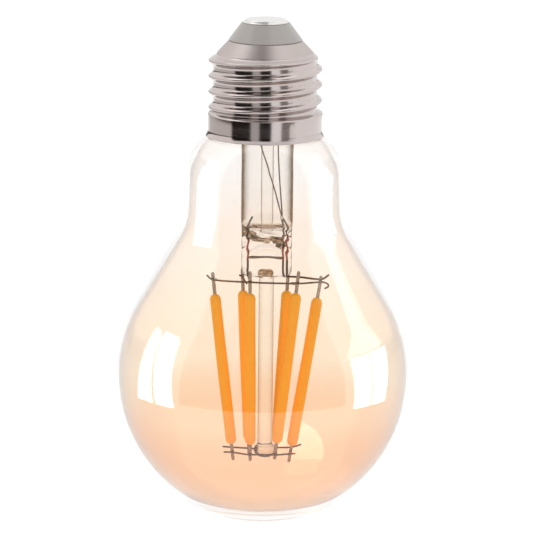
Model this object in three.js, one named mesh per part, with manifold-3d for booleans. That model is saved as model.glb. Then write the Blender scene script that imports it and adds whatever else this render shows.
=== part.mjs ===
// Screw-cap filament lamp: a gold-tinted glass globe on a threaded metal cap, with a glass stem,
// six LED filaments hung between wire rails, and a small mains driver inside the cap.
// Millimetres, +Z up. The origin is the middle of the centre contact's outer face, on the lamp's
// axis, and the whole lamp hangs below it, as it does in a ceiling lampholder.

import * as THREE from 'three';
import { mergeVertices } from 'three/addons/utils/BufferGeometryUtils.js';
import Module from 'manifold-3d';

const wasm = await Module();
wasm.setup();

// ---- Fits ---------------------------------------------------------------------------------
const FIT = 0.05;                    // clearance left between pieces that touch or are sealed

// ---- Screw cap (E27) ----------------------------------------------------------------------
const CAP_LENGTH = 27;               // contact face to the rim of the shell
const THREAD_PITCH = 3.629;          // seven turns to the inch
const THREAD_MAJOR = 26.4;           // crest diameter
const THREAD_ROOT = 24.2;            // root diameter
const THREAD_CREST_Z = -11.4;        // height of a crest on the +X side
const SHELL_WALL = 0.35;
const SHELL_TOP_DIAMETER = 17;       // mouth that holds the insulator
const SHELL_CONE_HEIGHT = 2.9;       // cone between the mouth and the thread
const SHELL_CONE_DIAMETER = 22.4;    // wide end of that cone
const SKIRT_DIAMETER = 26.5;         // plain band below the thread
const SKIRT_HEIGHT = 5;              // plain band and flared rim together
const RIM_DIAMETER = 27.6;
const RIM_HEIGHT = 1.5;              // height over which the rim flares
const INSULATOR_HEIGHT = 4.15;       // insulator standing proud of the shell
const INSULATOR_TOP_DIAMETER = 11.4;
const INSULATOR_WALL = 1.6;
const INSULATOR_HOLE = 1.8;          // passage for the live wire
const CONTACT_DIAMETER = 10.9;
const CONTACT_FACE_DIAMETER = 8.8;   // flat part of the contact
const CONTACT_HEIGHT = 0.7;

// ---- Glass envelope -----------------------------------------------------------------------
const GLOBE_DIAMETER = 70;
const NECK_LENGTH = 21.1;            // rim to where the cone's line meets the neck's
const NECK_DIAMETER = 38.5;          // where the neck meets the cone
const NECK_TOP_DIAMETER = 37.7;      // where the shoulder begins
const CONE_ANGLE = THREE.MathUtils.degToRad(29.7);   // cone's slope, from the axis
const NECK_FILLET = 16;              // radius between neck and cone
const SHOULDER_RADIUS = 13.5;
const SHOULDER_DROP = 11;            // rim to the start of the shoulder
const SEAL_NECK_DIAMETER = 22.4;     // glass neck hidden in the cap
const SEAL_NECK_LENGTH = 10;         // how far it stands up inside the cap
const GLOBE_WALL = 0.9;              // at the equator
const SHOULDER_WALL = 1.4;           // on cone, neck and shoulder
const BOTTOM_WALL = 2.7;             // at the pole, where the blown glass gathers
const GATHER_HEIGHT = 9;             // height over which it thins to the globe's wall
const SEAL_WALL = 1;

// ---- Glass stem ---------------------------------------------------------------------------
const FLARE_DIAMETER = 12.1;
const FLARE_WALL = 1;
const FLARE_SPREAD = 8;              // height of the trumpet mouth
const FLARE_PINCH = 3.4;             // height over which the tube is squeezed towards the press
const PINCH_SQUEEZE = 0.45;          // what is left of the tube's thickness at the press
const PRESS_WIDTH = 11.8;
const PRESS_THICKNESS = 3.6;
const PRESS_HEIGHT = 10.7;
const PRESS_CORNER = 3.5;
const EXHAUST_DIAMETER = 2.87;
const EXHAUST_BORE = 2.2;
const EXHAUST_TIP = 2.6;             // length of the drawn-off tip
const ROD_DIAMETER = 3.5;
const BUTTON_DIAMETER = 5.2;
const BUTTON_HEIGHT = 3.1;
const STEM_SHIFT = 0.7;              // the stem is sealed a little to one side of the lamp's axis

// ---- Filaments ----------------------------------------------------------------------------
const LIGHT_CENTRE_RISE = 1.3;       // middle of the filaments above the globe's centre
const FILAMENT_LENGTH = 37.4;        // coated length
const FILAMENT_DIAMETER = 2.6;
const STRIP_WIDTH = 1.1;             // carrier strip inside the coat
const STRIP_THICKNESS = 0.4;
const TERMINAL_WIDTH = 0.8;
const TERMINAL_THICKNESS = 0.3;
const TERMINAL_BITE = 1.2;           // terminal's length inside the coat
const UPPER_TERMINAL = 4.8;          // terminal's free length above the coat
const LOWER_TERMINAL = 3.7;
// Each row is one filament: x of its upper and lower end, y, and how far it sits above the rest.
const FILAMENTS = [
  { name: 'left_outer', topX: -12.1, bottomX: -8, y: 0, lift: -0.1 },
  { name: 'left_rear', topX: -5.5, bottomX: -3.9, y: 2, lift: 0.3 },
  { name: 'left_front', topX: -3.8, bottomX: -3.5, y: -2, lift: 0.5 },
  { name: 'right_rear', topX: 4.9, bottomX: 2.8, y: 2, lift: 0.3 },
  { name: 'right_front', topX: 7, bottomX: 2.8, y: -2, lift: 0.8 },
  { name: 'right_outer', topX: 12.1, bottomX: 6.4, y: 0, lift: -0.6 },
];

// ---- Wires --------------------------------------------------------------------------------
const RAIL_DIAMETER = 0.45;
const INNER_LEAD_DIAMETER = 0.5;
const DUMET_DIAMETER = 0.5;          // seal wire gripped by the press
const OUTER_LEAD_DIAMETER = 0.35;
const LEFT_LEAD_X = -4.3;
const RIGHT_LEAD_X = 3.8;
const SPARE_LEAD_X = 4.6;
const RIGHT_LEAD_Y = -0.3;
const SPARE_LEAD_Y = 0.3;
const RAIL_GAP = 1.5;                // press to the plane of the upper rails
const LOWER_WIRE_GAP = 1.3;          // filament ends to the plane of the lower wires
const LINK_RISE = 3.7;               // link wire above the foot of the press
const SEAL_WIRE_RISE = 3;            // seal wires standing above the press

// ---- Driver -------------------------------------------------------------------------------
const BOARD_DIAMETER = 18;
const BOARD_THICKNESS = 1;
const BOARD_DROP = 10.6;             // contact face to the board's upper side
const HOOKUP_DIAMETER = 0.6;         // live and neutral wires
// Each row is one boxed component: width, depth and height, and the x and y of its middle.
const COMPONENTS = [
  { name: 'bridge_rectifier', size: [4.7, 3.9, 2.2], x: -1.2, y: -3.6, upperSide: true },
  { name: 'driver_chip', size: [4.9, 3.9, 1.5], x: -2.8, y: 3.6, upperSide: true },
  { name: 'sense_resistor', size: [3.2, 1.6, 0.6], x: 5, y: -1.5, upperSide: true },
  { name: 'input_capacitor', size: [7.2, 3, 3.8], x: 0, y: 5.2, upperSide: false },
];
const RESISTOR_DIAMETER = 2.2;
const RESISTOR_LENGTH = 6.4;
const RESISTOR_Y = -5.6;             // it lies under the board, along X

// ---- Fineness of the facets ---------------------------------------------------------------
const ROUND = 32;                    // sides of the large turned pieces
const SMALL_ROUND = 16;
const WIRE_SIDES = 6;
const TURN_ROWS = 5;                 // rows of facets to one turn of thread

// ---- Heights that follow ------------------------------------------------------------------
const rimZ = -CAP_LENGTH;
const shellTopZ = -(CONTACT_HEIGHT + FIT + INSULATOR_HEIGHT);
const coneEndZ = shellTopZ - SHELL_CONE_HEIGHT;
const skirtTopZ = rimZ + SKIRT_HEIGHT;
const neckEndZ = rimZ - NECK_LENGTH;
const sealTopZ = rimZ + SEAL_NECK_LENGTH;
const globeRadius = GLOBE_DIAMETER / 2;
const coneFootR = globeRadius * Math.cos(CONE_ANGLE);
const coneDrop = (coneFootR - NECK_DIAMETER / 2) / Math.tan(CONE_ANGLE);
const globeCentreZ = neckEndZ - coneDrop - globeRadius * Math.sin(CONE_ANGLE);
const poleZ = globeCentreZ - globeRadius;
const lightCentreZ = globeCentreZ + LIGHT_CENTRE_RISE;
const filamentTopZ = lightCentreZ + FILAMENT_LENGTH / 2;
const filamentFootZ = lightCentreZ - FILAMENT_LENGTH / 2;
const railZ = filamentTopZ + UPPER_TERMINAL - RAIL_GAP;
const lowerWireZ = filamentFootZ - LOWER_WIRE_GAP;
const pressFootZ = railZ + RAIL_GAP;
const pressTopZ = pressFootZ + PRESS_HEIGHT;
const leadJointZ = pressFootZ + LINK_RISE - DUMET_DIAMETER;
const buttonFootZ = lowerWireZ - BUTTON_HEIGHT / 2;
const buttonTopZ = buttonFootZ + BUTTON_HEIGHT;
const boardTopZ = -BOARD_DROP;
const boardFootZ = boardTopZ - BOARD_THICKNESS;

// ---- Materials ----------------------------------------------------------------------------
const metal = (color, roughness) => new THREE.MeshStandardMaterial({ color, roughness, metalness: 1 });
const plain = (color, roughness) => new THREE.MeshStandardMaterial({ color, roughness, metalness: 0 });
const glass = (color, opacity) => new THREE.MeshStandardMaterial({
  color, opacity, transparent: true, roughness: 0.05, metalness: 0,
});
const materials = {
  amberGlass: glass(0xe8a64e, 0.45),
  clearGlass: glass(0xf2ede4, 0.5),
  nickelShell: metal(0xb9b1a8, 0.22),
  tinnedContact: metal(0xd8d6d2, 0.3),
  capGlass: plain(0xa5a09b, 0.35),
  cement: plain(0x9b9488, 0.9),
  nickelWire: metal(0x8f8378, 0.35),
  redSeal: metal(0xb4553f, 0.45),
  phosphor: plain(0xf5951f, 0.6),
  ceramic: plain(0xe9e4da, 0.6),
  greenBoard: plain(0x2f6b3a, 0.6),
  blackPackage: plain(0x1d1d1f, 0.5),
  resistorBody: plain(0x8fb3c4, 0.6),
  capacitorBody: plain(0xa3402f, 0.5),
};

// ---- Shape helpers ------------------------------------------------------------------------
const lamp = new THREE.Group();
const stem = new THREE.Group();        // all that hangs from the glass stem
stem.position.x = STEM_SHIFT;
lamp.add(stem);

function add(name, geometry, material, parent = lamp) {
  const mesh = new THREE.Mesh(geometry, material);
  mesh.name = name;
  parent.add(mesh);
  return mesh;
}

const point = (r, z) => new THREE.Vector2(r, z);

// Points of an arc about (r, z), both ends included; angles are measured from the +r direction.
function arc(r, z, radius, from, to, steps) {
  const points = [];
  for (let i = 0; i <= steps; i += 1) {
    const angle = from + (to - from) * i / steps;
    points.push(point(r + radius * Math.cos(angle), z + radius * Math.sin(angle)));
  }
  return points;
}

// A turned piece: the outline runs up its outer side and back down its inner side or axis.
const turned = (outline, sides = ROUND) => new THREE.LatheGeometry(outline, sides).rotateX(Math.PI / 2);

// A round wire along a smooth curve through the given points.
function wire(points, diameter, steps = 3 * points.length) {
  const section = new THREE.Shape(Array.from({ length: WIRE_SIDES }, (_, i) => {
    const angle = 2 * Math.PI * i / WIRE_SIDES;
    return new THREE.Vector2(Math.cos(angle), Math.sin(angle)).multiplyScalar(diameter / 2);
  }));
  const path = new THREE.CatmullRomCurve3(points.map((p) => new THREE.Vector3(...p)), false, 'centripetal');
  return new THREE.ExtrudeGeometry(section, { steps, bevelEnabled: false, extrudePath: path });
}

const box = (width, depth, height) => new THREE.BoxGeometry(width, depth, height);

// An upright round bar between two heights.
const bar = (diameter, footZ, topZ, sides = SMALL_ROUND) => new THREE
  .CylinderGeometry(diameter / 2, diameter / 2, topZ - footZ, sides)
  .rotateX(Math.PI / 2)
  .translate(0, 0, (topZ + footZ) / 2);

// A closed geometry as a solid that can be cut.
function toSolid(geometry) {
  const bare = geometry.clone();
  bare.deleteAttribute('normal');
  bare.deleteAttribute('uv');
  const merged = mergeVertices(bare, 1e-4);
  const kept = [];
  const index = merged.index.array;
  for (let i = 0; i < index.length; i += 3) {
    const [a, b, c] = [index[i], index[i + 1], index[i + 2]];
    if (a !== b && b !== c && c !== a) kept.push(a, b, c);
  }
  return new wasm.Manifold(new wasm.Mesh({
    numProp: 3,
    vertProperties: new Float32Array(merged.attributes.position.array),
    triVerts: new Uint32Array(kept),
  }));
}

// The first geometry with every one of the others cut out of it.
function cut(geometry, cutters) {
  const solid = cutters.reduce((left, cutter) => left.subtract(toSolid(cutter)), toSolid(geometry));
  const mesh = solid.getMesh();
  const result = new THREE.BufferGeometry();
  result.setAttribute('position', new THREE.BufferAttribute(mesh.vertProperties, 3));
  result.setIndex(new THREE.BufferAttribute(mesh.triVerts, 1));
  result.computeVertexNormals();
  return result;
}

// 0 below the first height, 1 above the second, smooth between them.
const ramp = (z, low, high) => THREE.MathUtils.smoothstep(z, low, high);

// ---- Cap ----------------------------------------------------------------------------------
// The contact is a flat tinned button with a stepped edge.
function centreContact() {
  const edgeR = CONTACT_FACE_DIAMETER / 2;
  const footR = CONTACT_DIAMETER / 2;
  return turned([
    point(0, -CONTACT_HEIGHT),
    point(footR, -CONTACT_HEIGHT),
    point(footR, -CONTACT_HEIGHT * 0.8),
    ...arc(edgeR, -CONTACT_HEIGHT / 2, CONTACT_HEIGHT / 2, 0, Math.PI / 2, 3),
    point(0, 0),
  ]);
}

// The insulator is a glass cone fused into the mouth of the shell, with a passage up its middle.
function capInsulator() {
  const topZ = -CONTACT_HEIGHT - FIT;
  const holeR = INSULATOR_HOLE / 2;
  const mouthR = SHELL_TOP_DIAMETER / 2;
  const throatR = mouthR - SHELL_WALL - FIT;
  const coneSlope = (SHELL_CONE_DIAMETER / 2 - mouthR) / SHELL_CONE_HEIGHT;
  const depth = SHELL_CONE_HEIGHT - 2 * SHELL_WALL;
  const footR = throatR + (depth - SHELL_WALL) * coneSlope;
  return turned([
    point(holeR, topZ - INSULATOR_WALL),
    point(holeR + INSULATOR_WALL, topZ - 2 * INSULATOR_WALL),
    point(footR - INSULATOR_WALL, shellTopZ - depth),
    point(footR, shellTopZ - depth),
    point(throatR, shellTopZ - SHELL_WALL),
    point(throatR, shellTopZ + FIT),
    point(mouthR, shellTopZ + FIT),
    point(INSULATOR_TOP_DIAMETER / 2, topZ),
    point(holeR, topZ),
    point(holeR, topZ - INSULATOR_WALL),
  ]);
}

// How far the rolled thread stands out at a height and an angle: a right-hand wave of one start,
// squared so that the root is wide and the crest narrow.
function threadRise(z, angle) {
  const turns = (z - THREAD_CREST_Z) / THREAD_PITCH - angle / (2 * Math.PI);
  const wave = (1 + Math.cos(2 * Math.PI * turns)) / 2;
  const runOut = ramp(z, skirtTopZ - THREAD_PITCH / 8, skirtTopZ + THREAD_PITCH / 3);
  const runIn = 1 - ramp(z, coneEndZ - THREAD_PITCH / 3, coneEndZ);
  return wave ** 2 * runOut * runIn * (THREAD_MAJOR - THREAD_ROOT) / 2;
}

// The shell is one thin sheet: cone, thread, skirt and flared rim, open at both ends.
function screwShell() {
  const rootR = THREAD_ROOT / 2;
  const skirtR = SKIRT_DIAMETER / 2;
  const flare = arc(skirtR, rimZ, 1, 0, Math.PI / 2, 3).map((p) => point(
    skirtR + (p.x - skirtR) * (RIM_DIAMETER - SKIRT_DIAMETER) / 2, rimZ + (p.y - rimZ) * RIM_HEIGHT));
  const rows = Math.round((coneEndZ - skirtTopZ) / THREAD_PITCH * TURN_ROWS);
  const threaded = [];
  for (let i = 0; i <= rows; i += 1) {
    const z = skirtTopZ + (coneEndZ - skirtTopZ) * i / rows;
    const bandR = THREE.MathUtils.lerp(skirtR, rootR, ramp(z, skirtTopZ, skirtTopZ + THREAD_PITCH / 3));
    const coneR = SHELL_CONE_DIAMETER / 2;
    threaded.push(point(THREE.MathUtils.lerp(bandR, coneR, ramp(z, coneEndZ - THREAD_PITCH / 3, coneEndZ)), z));
  }
  const outer = [...flare, ...threaded, point(SHELL_TOP_DIAMETER / 2, shellTopZ)];
  const inner = outer.map((p) => point(p.x - SHELL_WALL, p.y)).reverse();
  const shell = turned([...outer, ...inner, outer[0]]);
  const places = shell.attributes.position;
  for (let i = 0; i < places.count; i += 1) {
    const [x, y, z] = [places.getX(i), places.getY(i), places.getZ(i)];
    const radius = Math.hypot(x, y);
    const scale = (radius + threadRise(z, Math.atan2(y, x))) / radius;
    places.setXY(i, x * scale, y * scale);
  }
  shell.computeVertexNormals();
  return shell;
}

// Cement bonds the hidden neck of the glass to the skirt.
function capCement() {
  const innerR = SEAL_NECK_DIAMETER / 2 + 2 * FIT;
  const narrowR = THREAD_ROOT / 2 - SHELL_WALL - FIT;
  const wideR = SKIRT_DIAMETER / 2 - SHELL_WALL - FIT;
  const footZ = rimZ + RIM_HEIGHT + FIT;
  const stepZ = skirtTopZ - THREAD_PITCH / 4;
  return turned([
    point(innerR, footZ),
    point(wideR, footZ),
    point(wideR, stepZ),
    point(narrowR, stepZ + FIT),
    point(narrowR, skirtTopZ + THREAD_PITCH / 2),
    point(innerR, skirtTopZ + THREAD_PITCH / 2),
    point(innerR, footZ),
  ]);
}

// ---- Glass envelope -----------------------------------------------------------------------
// Outer outline from the pole up: globe, cone, fillet, neck, shoulder, neck hidden in the cap.
function envelopeOutline() {
  const neckR = NECK_DIAMETER / 2;
  const neckTopR = NECK_TOP_DIAMETER / 2;
  const sealR = SEAL_NECK_DIAMETER / 2;
  const shoulderZ = rimZ - SHOULDER_DROP;
  const neckLean = Math.atan2(neckR - neckTopR, NECK_LENGTH - SHOULDER_DROP);
  const globe = arc(0, globeCentreZ, globeRadius, -Math.PI / 2, 0, 9);
  const crown = arc(0, globeCentreZ, globeRadius, 0, CONE_ANGLE, 3).slice(1);
  const reach = NECK_FILLET * Math.tan((CONE_ANGLE - neckLean) / 2);
  const filletR = neckR - reach * Math.sin(neckLean) + NECK_FILLET * Math.cos(neckLean);
  const filletZ = neckEndZ + reach * Math.cos(neckLean) + NECK_FILLET * Math.sin(neckLean);
  const fillet = arc(filletR, filletZ, NECK_FILLET, Math.PI + CONE_ANGLE, Math.PI + neckLean, 4);
  const shoulderTurn = Math.acos((sealR + FIT * 4 - neckTopR + SHOULDER_RADIUS) / SHOULDER_RADIUS);
  const shoulder = arc(neckTopR - SHOULDER_RADIUS, shoulderZ, SHOULDER_RADIUS, 0, shoulderTurn, 6);
  return [
    ...globe, ...crown, ...fillet, ...shoulder,
    point(sealR, rimZ + RIM_HEIGHT),
    point(sealR, sealTopZ),
  ];
}

// Thickness of the glass at a height: gathered at the pole, thin at the equator, even above it.
function wallAt(z) {
  const low = THREE.MathUtils.lerp(BOTTOM_WALL, GLOBE_WALL, ramp(z, poleZ, poleZ + GATHER_HEIGHT));
  const high = THREE.MathUtils.lerp(low, SHOULDER_WALL, ramp(z, globeCentreZ, neckEndZ));
  return THREE.MathUtils.lerp(high, SEAL_WALL, ramp(z, rimZ - SHOULDER_DROP / 2, rimZ));
}

// The outline moved inwards, square to itself, by the local thickness of the glass.
function innerOutline(outer) {
  return outer.map((p, i) => {
    const before = outer[Math.max(i - 1, 0)];
    const after = outer[Math.min(i + 1, outer.length - 1)];
    const along = after.clone().sub(before).normalize();
    if (i === 0) along.set(1, 0);
    if (i === outer.length - 1) along.set(0, 1);
    return point(p.x - along.y * wallAt(p.y), p.y + along.x * wallAt(p.y));
  });
}

function glassEnvelope() {
  const outer = envelopeOutline();
  return turned([...outer, ...innerOutline(outer).reverse()]);
}

// ---- Stem ---------------------------------------------------------------------------------
// The flare tube opens like a trumpet onto the neck's lip, which keeps it on the lamp's axis, and
// is squeezed flat at the press.
function flareTube() {
  const outerR = FLARE_DIAMETER / 2;
  const innerR = outerR - FLARE_WALL;
  const lipR = SEAL_NECK_DIAMETER / 2;
  const mouthR = lipR - SEAL_WALL - 2 * FIT;
  const mouthZ = sealTopZ + FIT;
  const spreadZ = mouthZ - FLARE_SPREAD;
  const footZ = pressTopZ + FIT;
  const trumpet = (throatR, height) => arc(0, 0, 1, 0, Math.PI / 2, 5)
    .map((p) => point(mouthR - (mouthR - throatR) * p.x, spreadZ + height * p.y));
  const pinchSteps = [0, 0.25, 0.5, 0.75, 1].map((share) => footZ + FLARE_PINCH * share);
  const outline = [
    ...pinchSteps.map((z) => point(outerR, z)),
    ...trumpet(outerR, FLARE_SPREAD),
    point(lipR, mouthZ),
    point(lipR, mouthZ + FLARE_WALL),
    ...trumpet(innerR, FLARE_SPREAD + FLARE_WALL).reverse(),
    ...pinchSteps.map((z) => point(innerR, z)).reverse(),
    point(outerR, footZ),
  ];
  const tube = turned(outline, ROUND * 3 / 4);
  const places = tube.attributes.position;
  for (let i = 0; i < places.count; i += 1) {
    const squeeze = THREE.MathUtils.lerp(PINCH_SQUEEZE, 1, ramp(places.getZ(i), footZ, footZ + FLARE_PINCH));
    const seat = ramp(places.getZ(i), rimZ, rimZ + FLARE_PINCH);
    places.setXY(i, places.getX(i) - STEM_SHIFT * seat, places.getY(i) * squeeze);
  }
  tube.computeVertexNormals();
  return tube;
}

// A passage for a lead, straight down through the press.
const leadPassage = (x, y) => {
  const diameter = Math.max(INNER_LEAD_DIAMETER, DUMET_DIAMETER) + 6 * FIT;
  return bar(diameter, pressFootZ - 1, pressTopZ + 1, 8).translate(x, y, 0);
};

// The press is the flattened end of the stem, gripping the leads and the link wire.
function stemPress() {
  const half = PRESS_WIDTH / 2;
  const corner = PRESS_CORNER;
  const outline = new THREE.Shape([
    ...arc(half - corner, corner, corner, -Math.PI / 2, 0, 4),
    point(half, PRESS_HEIGHT),
    point(-half, PRESS_HEIGHT),
    ...arc(corner - half, corner, corner, Math.PI, 1.5 * Math.PI, 4),
  ]);
  const block = new THREE.ExtrudeGeometry(outline, { depth: PRESS_THICKNESS, bevelEnabled: false })
    .rotateX(Math.PI / 2)
    .translate(0, PRESS_THICKNESS / 2, pressFootZ);
  return cut(block, [
    leadPassage(LEFT_LEAD_X, 0),
    leadPassage(RIGHT_LEAD_X, RIGHT_LEAD_Y),
    leadPassage(SPARE_LEAD_X, SPARE_LEAD_Y),
    wire(linkWirePoints(0), DUMET_DIAMETER + 4 * FIT, 4),
  ]);
}

// The exhaust tube runs up from the press and ends in a drawn-off tip inside the cap.
function exhaustTube() {
  const outerR = EXHAUST_DIAMETER / 2;
  const boreR = EXHAUST_BORE / 2;
  const footZ = pressTopZ + FIT;
  const tipZ = sealTopZ - FIT;
  return turned([
    point(boreR, footZ),
    point(outerR, footZ),
    point(outerR, tipZ - EXHAUST_TIP),
    point(outerR / 2, tipZ - EXHAUST_TIP / 4),
    point(0, tipZ),
    point(0, tipZ - EXHAUST_TIP / 2),
    point(boreR, tipZ - EXHAUST_TIP),
    point(boreR, footZ),
  ], SMALL_ROUND);
}

const centreRod = () => bar(ROD_DIAMETER, buttonTopZ + FIT, pressFootZ - FIT);

// The button is a rounded bead of glass that holds the two lower wires.
function rodButton() {
  const half = BUTTON_HEIGHT / 2;
  const middleZ = (buttonTopZ + buttonFootZ) / 2;
  const bead = turned([
    point(0, buttonFootZ),
    ...arc(BUTTON_DIAMETER / 2 - half, middleZ, half, -Math.PI / 2, Math.PI / 2, 6),
    point(0, buttonTopZ),
  ], SMALL_ROUND);
  return cut(bead, [
    wire(lowerFrontPoints(), RAIL_DIAMETER + 4 * FIT),
    wire(lowerRearPoints(), RAIL_DIAMETER + 4 * FIT),
  ]);
}

// ---- Filaments ----------------------------------------------------------------------------
const filamentTilt = (filament) => Math.asin((filament.topX - filament.bottomX) / FILAMENT_LENGTH);

// A piece of flat strip standing between two heights, in the filament's own frame.
const strip = (width, thickness, low, high) => box(width, thickness, high - low)
  .translate(0, 0, (low + high) / 2);

// The coat is a round-ended rod of silicone and phosphor with a slot for the strip.
function phosphorCoat() {
  const radius = FILAMENT_DIAMETER / 2;
  const half = FILAMENT_LENGTH / 2;
  const rod = turned([
    ...arc(0, radius - half, radius, -Math.PI / 2, 0, 3),
    ...arc(0, half - radius, radius, 0, Math.PI / 2, 3),
  ], 12);
  return cut(rod, [box(STRIP_WIDTH + 2 * FIT, STRIP_THICKNESS + 2 * FIT, FILAMENT_LENGTH + 2)]);
}

function addFilament(filament) {
  const group = new THREE.Group();
  group.position.set((filament.topX + filament.bottomX) / 2, filament.y, lightCentreZ + filament.lift);
  group.rotation.y = filamentTilt(filament);
  stem.add(group);
  const half = FILAMENT_LENGTH / 2;
  const bite = half - TERMINAL_BITE;
  const upper = strip(TERMINAL_WIDTH, TERMINAL_THICKNESS, bite + FIT, half + UPPER_TERMINAL);
  const lower = strip(TERMINAL_WIDTH, TERMINAL_THICKNESS, -half - LOWER_TERMINAL, -bite - FIT);
  add(`filament_${filament.name}_coat`, phosphorCoat(), materials.phosphor, group);
  const carrier = strip(STRIP_WIDTH, STRIP_THICKNESS, -bite, bite);
  add(`filament_${filament.name}_strip`, carrier, materials.ceramic, group);
  add(`filament_${filament.name}_upper_terminal`, upper, materials.nickelWire, group);
  add(`filament_${filament.name}_lower_terminal`, lower, materials.nickelWire, group);
}

// ---- Wires --------------------------------------------------------------------------------
const byName = (name) => FILAMENTS.find((filament) => filament.name === name);

// Where a wire is welded to a filament's terminal at a height, on its front (-1) or rear (1) face.
function weld(name, z, face) {
  const filament = byName(name);
  const rise = z - lightCentreZ - filament.lift;
  const x = (filament.topX + filament.bottomX) / 2 + rise * Math.tan(filamentTilt(filament));
  return [x, filament.y + face * (TERMINAL_THICKNESS / 2 + RAIL_DIAMETER / 2 + 2 * FIT), z];
}

// The front rail carries the left-hand filaments and steadies the right front one.
const frontRailPoints = () => [
  [-13.9, -0.3, railZ + 0.9],
  weld('left_outer', railZ, -1),
  [-8, -1.8, railZ - 0.1],
  weld('left_front', railZ - 0.1, -1),
  [0, -2.7, railZ - 0.2],
  weld('right_front', railZ - 0.3, -1),
  [11, -1.7, railZ - 0.2],
  [13.3, -1.2, railZ - 0.2],
  [14.7, -1, railZ - 0.9],
];

// The left inner lead comes out of the press and meets the front rail.
const leftLeadPoints = () => [
  [LEFT_LEAD_X, 0, leadJointZ],
  [LEFT_LEAD_X, 0, pressFootZ + 1.4],
  [LEFT_LEAD_X, 0, pressFootZ + 0.4],
  [LEFT_LEAD_X + 0.1, -0.7, pressFootZ - 0.8],
  [LEFT_LEAD_X + 0.4, -1.5, pressFootZ - 1.2],
];

// The right inner lead turns outwards below the press and is the rail of the right-hand filaments.
const rightLeadPoints = () => [
  [RIGHT_LEAD_X, RIGHT_LEAD_Y, leadJointZ],
  [RIGHT_LEAD_X, RIGHT_LEAD_Y, pressFootZ + 1.4],
  [RIGHT_LEAD_X, RIGHT_LEAD_Y, pressFootZ + 0.4],
  [RIGHT_LEAD_X + 0.3, RIGHT_LEAD_Y + 0.8, pressFootZ - 0.7],
  weld('right_rear', pressFootZ - 1.1, -1),
  [8, 1.5, pressFootZ - 1.2],
  weld('right_outer', pressFootZ - 1.4, 1),
  [14.6, 0.9, pressFootZ - 0.5],
];

// The spare lead stops just above the right-hand rail.
const spareLeadPoints = () => [
  [SPARE_LEAD_X, SPARE_LEAD_Y, leadJointZ],
  [SPARE_LEAD_X, SPARE_LEAD_Y, pressFootZ - 0.2],
];

// The bridge wire brings the left rear filament forward to the front rail.
const bridgeWirePoints = () => [
  [-6.3, 1.5, railZ + 0.6],
  weld('left_rear', railZ + 0.2, -1),
  [-5, -0.4, railZ - 0.4],
  [-4.6, -1.6, railZ - 0.6],
];

// The two lower wires cross inside the button and join all six filaments at the foot.
const lowerFrontPoints = () => [
  [-9.7, -0.3, lowerWireZ - 0.6],
  weld('left_outer', lowerWireZ - 0.6, -1),
  weld('left_front', lowerWireZ - 0.5, -1),
  [0, -1.7, lowerWireZ - 0.6],
  weld('right_front', lowerWireZ - 0.5, -1),
  [4.9, -1.6, lowerWireZ - 0.6],
  [7.1, -1, lowerWireZ - 0.6],
];
const lowerRearPoints = () => [
  [-10, 0.8, lowerWireZ + 0.4],
  [-8, 1.3, lowerWireZ + 0.1],
  weld('left_rear', lowerWireZ - 0.5, 1),
  [0, 1.7, lowerWireZ - 0.6],
  weld('right_rear', lowerWireZ - 0.3, 1),
  weld('right_outer', lowerWireZ + 0.5, 1),
  [8.6, 0.8, lowerWireZ + 1.1],
];

// The link wire crosses inside the press from the left seal wire to the right one.
function linkWirePoints(gap) {
  const z = pressFootZ + LINK_RISE;
  const reach = DUMET_DIAMETER / 2 + gap;
  return [
    [LEFT_LEAD_X + reach, 0, z],
    [0, -0.2, z + 0.3],
    [RIGHT_LEAD_X - reach, RIGHT_LEAD_Y, z],
  ];
}

// The outer leads run from the board down through the flare tube to the press.
const frontOuterLeadPoints = () => [
  [-3.2, -1.8, boardFootZ - FIT],
  [-2.2, -2.4, rimZ + 7],
  [-1.3, -2.3, rimZ - 3],
  [1.3, -2.2, (rimZ + pressTopZ) / 2],
  [RIGHT_LEAD_X - 0.3, RIGHT_LEAD_Y - 0.3, pressTopZ + SEAL_WIRE_RISE],
];
const rearOuterLeadPoints = () => [
  [3, 1.8, boardFootZ - FIT],
  [2.5, 1.7, rimZ - 3],
  [SPARE_LEAD_X - 1, SPARE_LEAD_Y + 0.3, pressTopZ + SEAL_WIRE_RISE],
];

// A seal wire runs from the outer lead's end down into the press.
const sealWirePoints = (topX, x, y) => [
  [topX, y, pressTopZ + SEAL_WIRE_RISE - FIT],
  [x, y, pressTopZ + 0.6],
  [x, y, pressTopZ - 1],
  [x, y, leadJointZ + FIT],
];

// ---- Driver -------------------------------------------------------------------------------
// The live wire rises from the board through the insulator to the contact.
const liveWirePoints = () => [
  [2.4, 3.2, boardTopZ + FIT],
  [1.6, 2, boardTopZ + 2.4],
  [0, 0, -CONTACT_HEIGHT - 3],
  [0, 0, -CONTACT_HEIGHT - FIT],
];

// The neutral wire reaches from the board to the inside of the shell.
const neutralWirePoints = () => [
  [-6.5, 2.4, boardTopZ + FIT],
  [-6.6, 2.4, boardTopZ + 0.9],
  [-8.6, 2.6, boardTopZ + 1.2],
  [-(THREAD_ROOT / 2 - SHELL_WALL - 0.8), 2.4, boardTopZ - 0.4],
];

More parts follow.
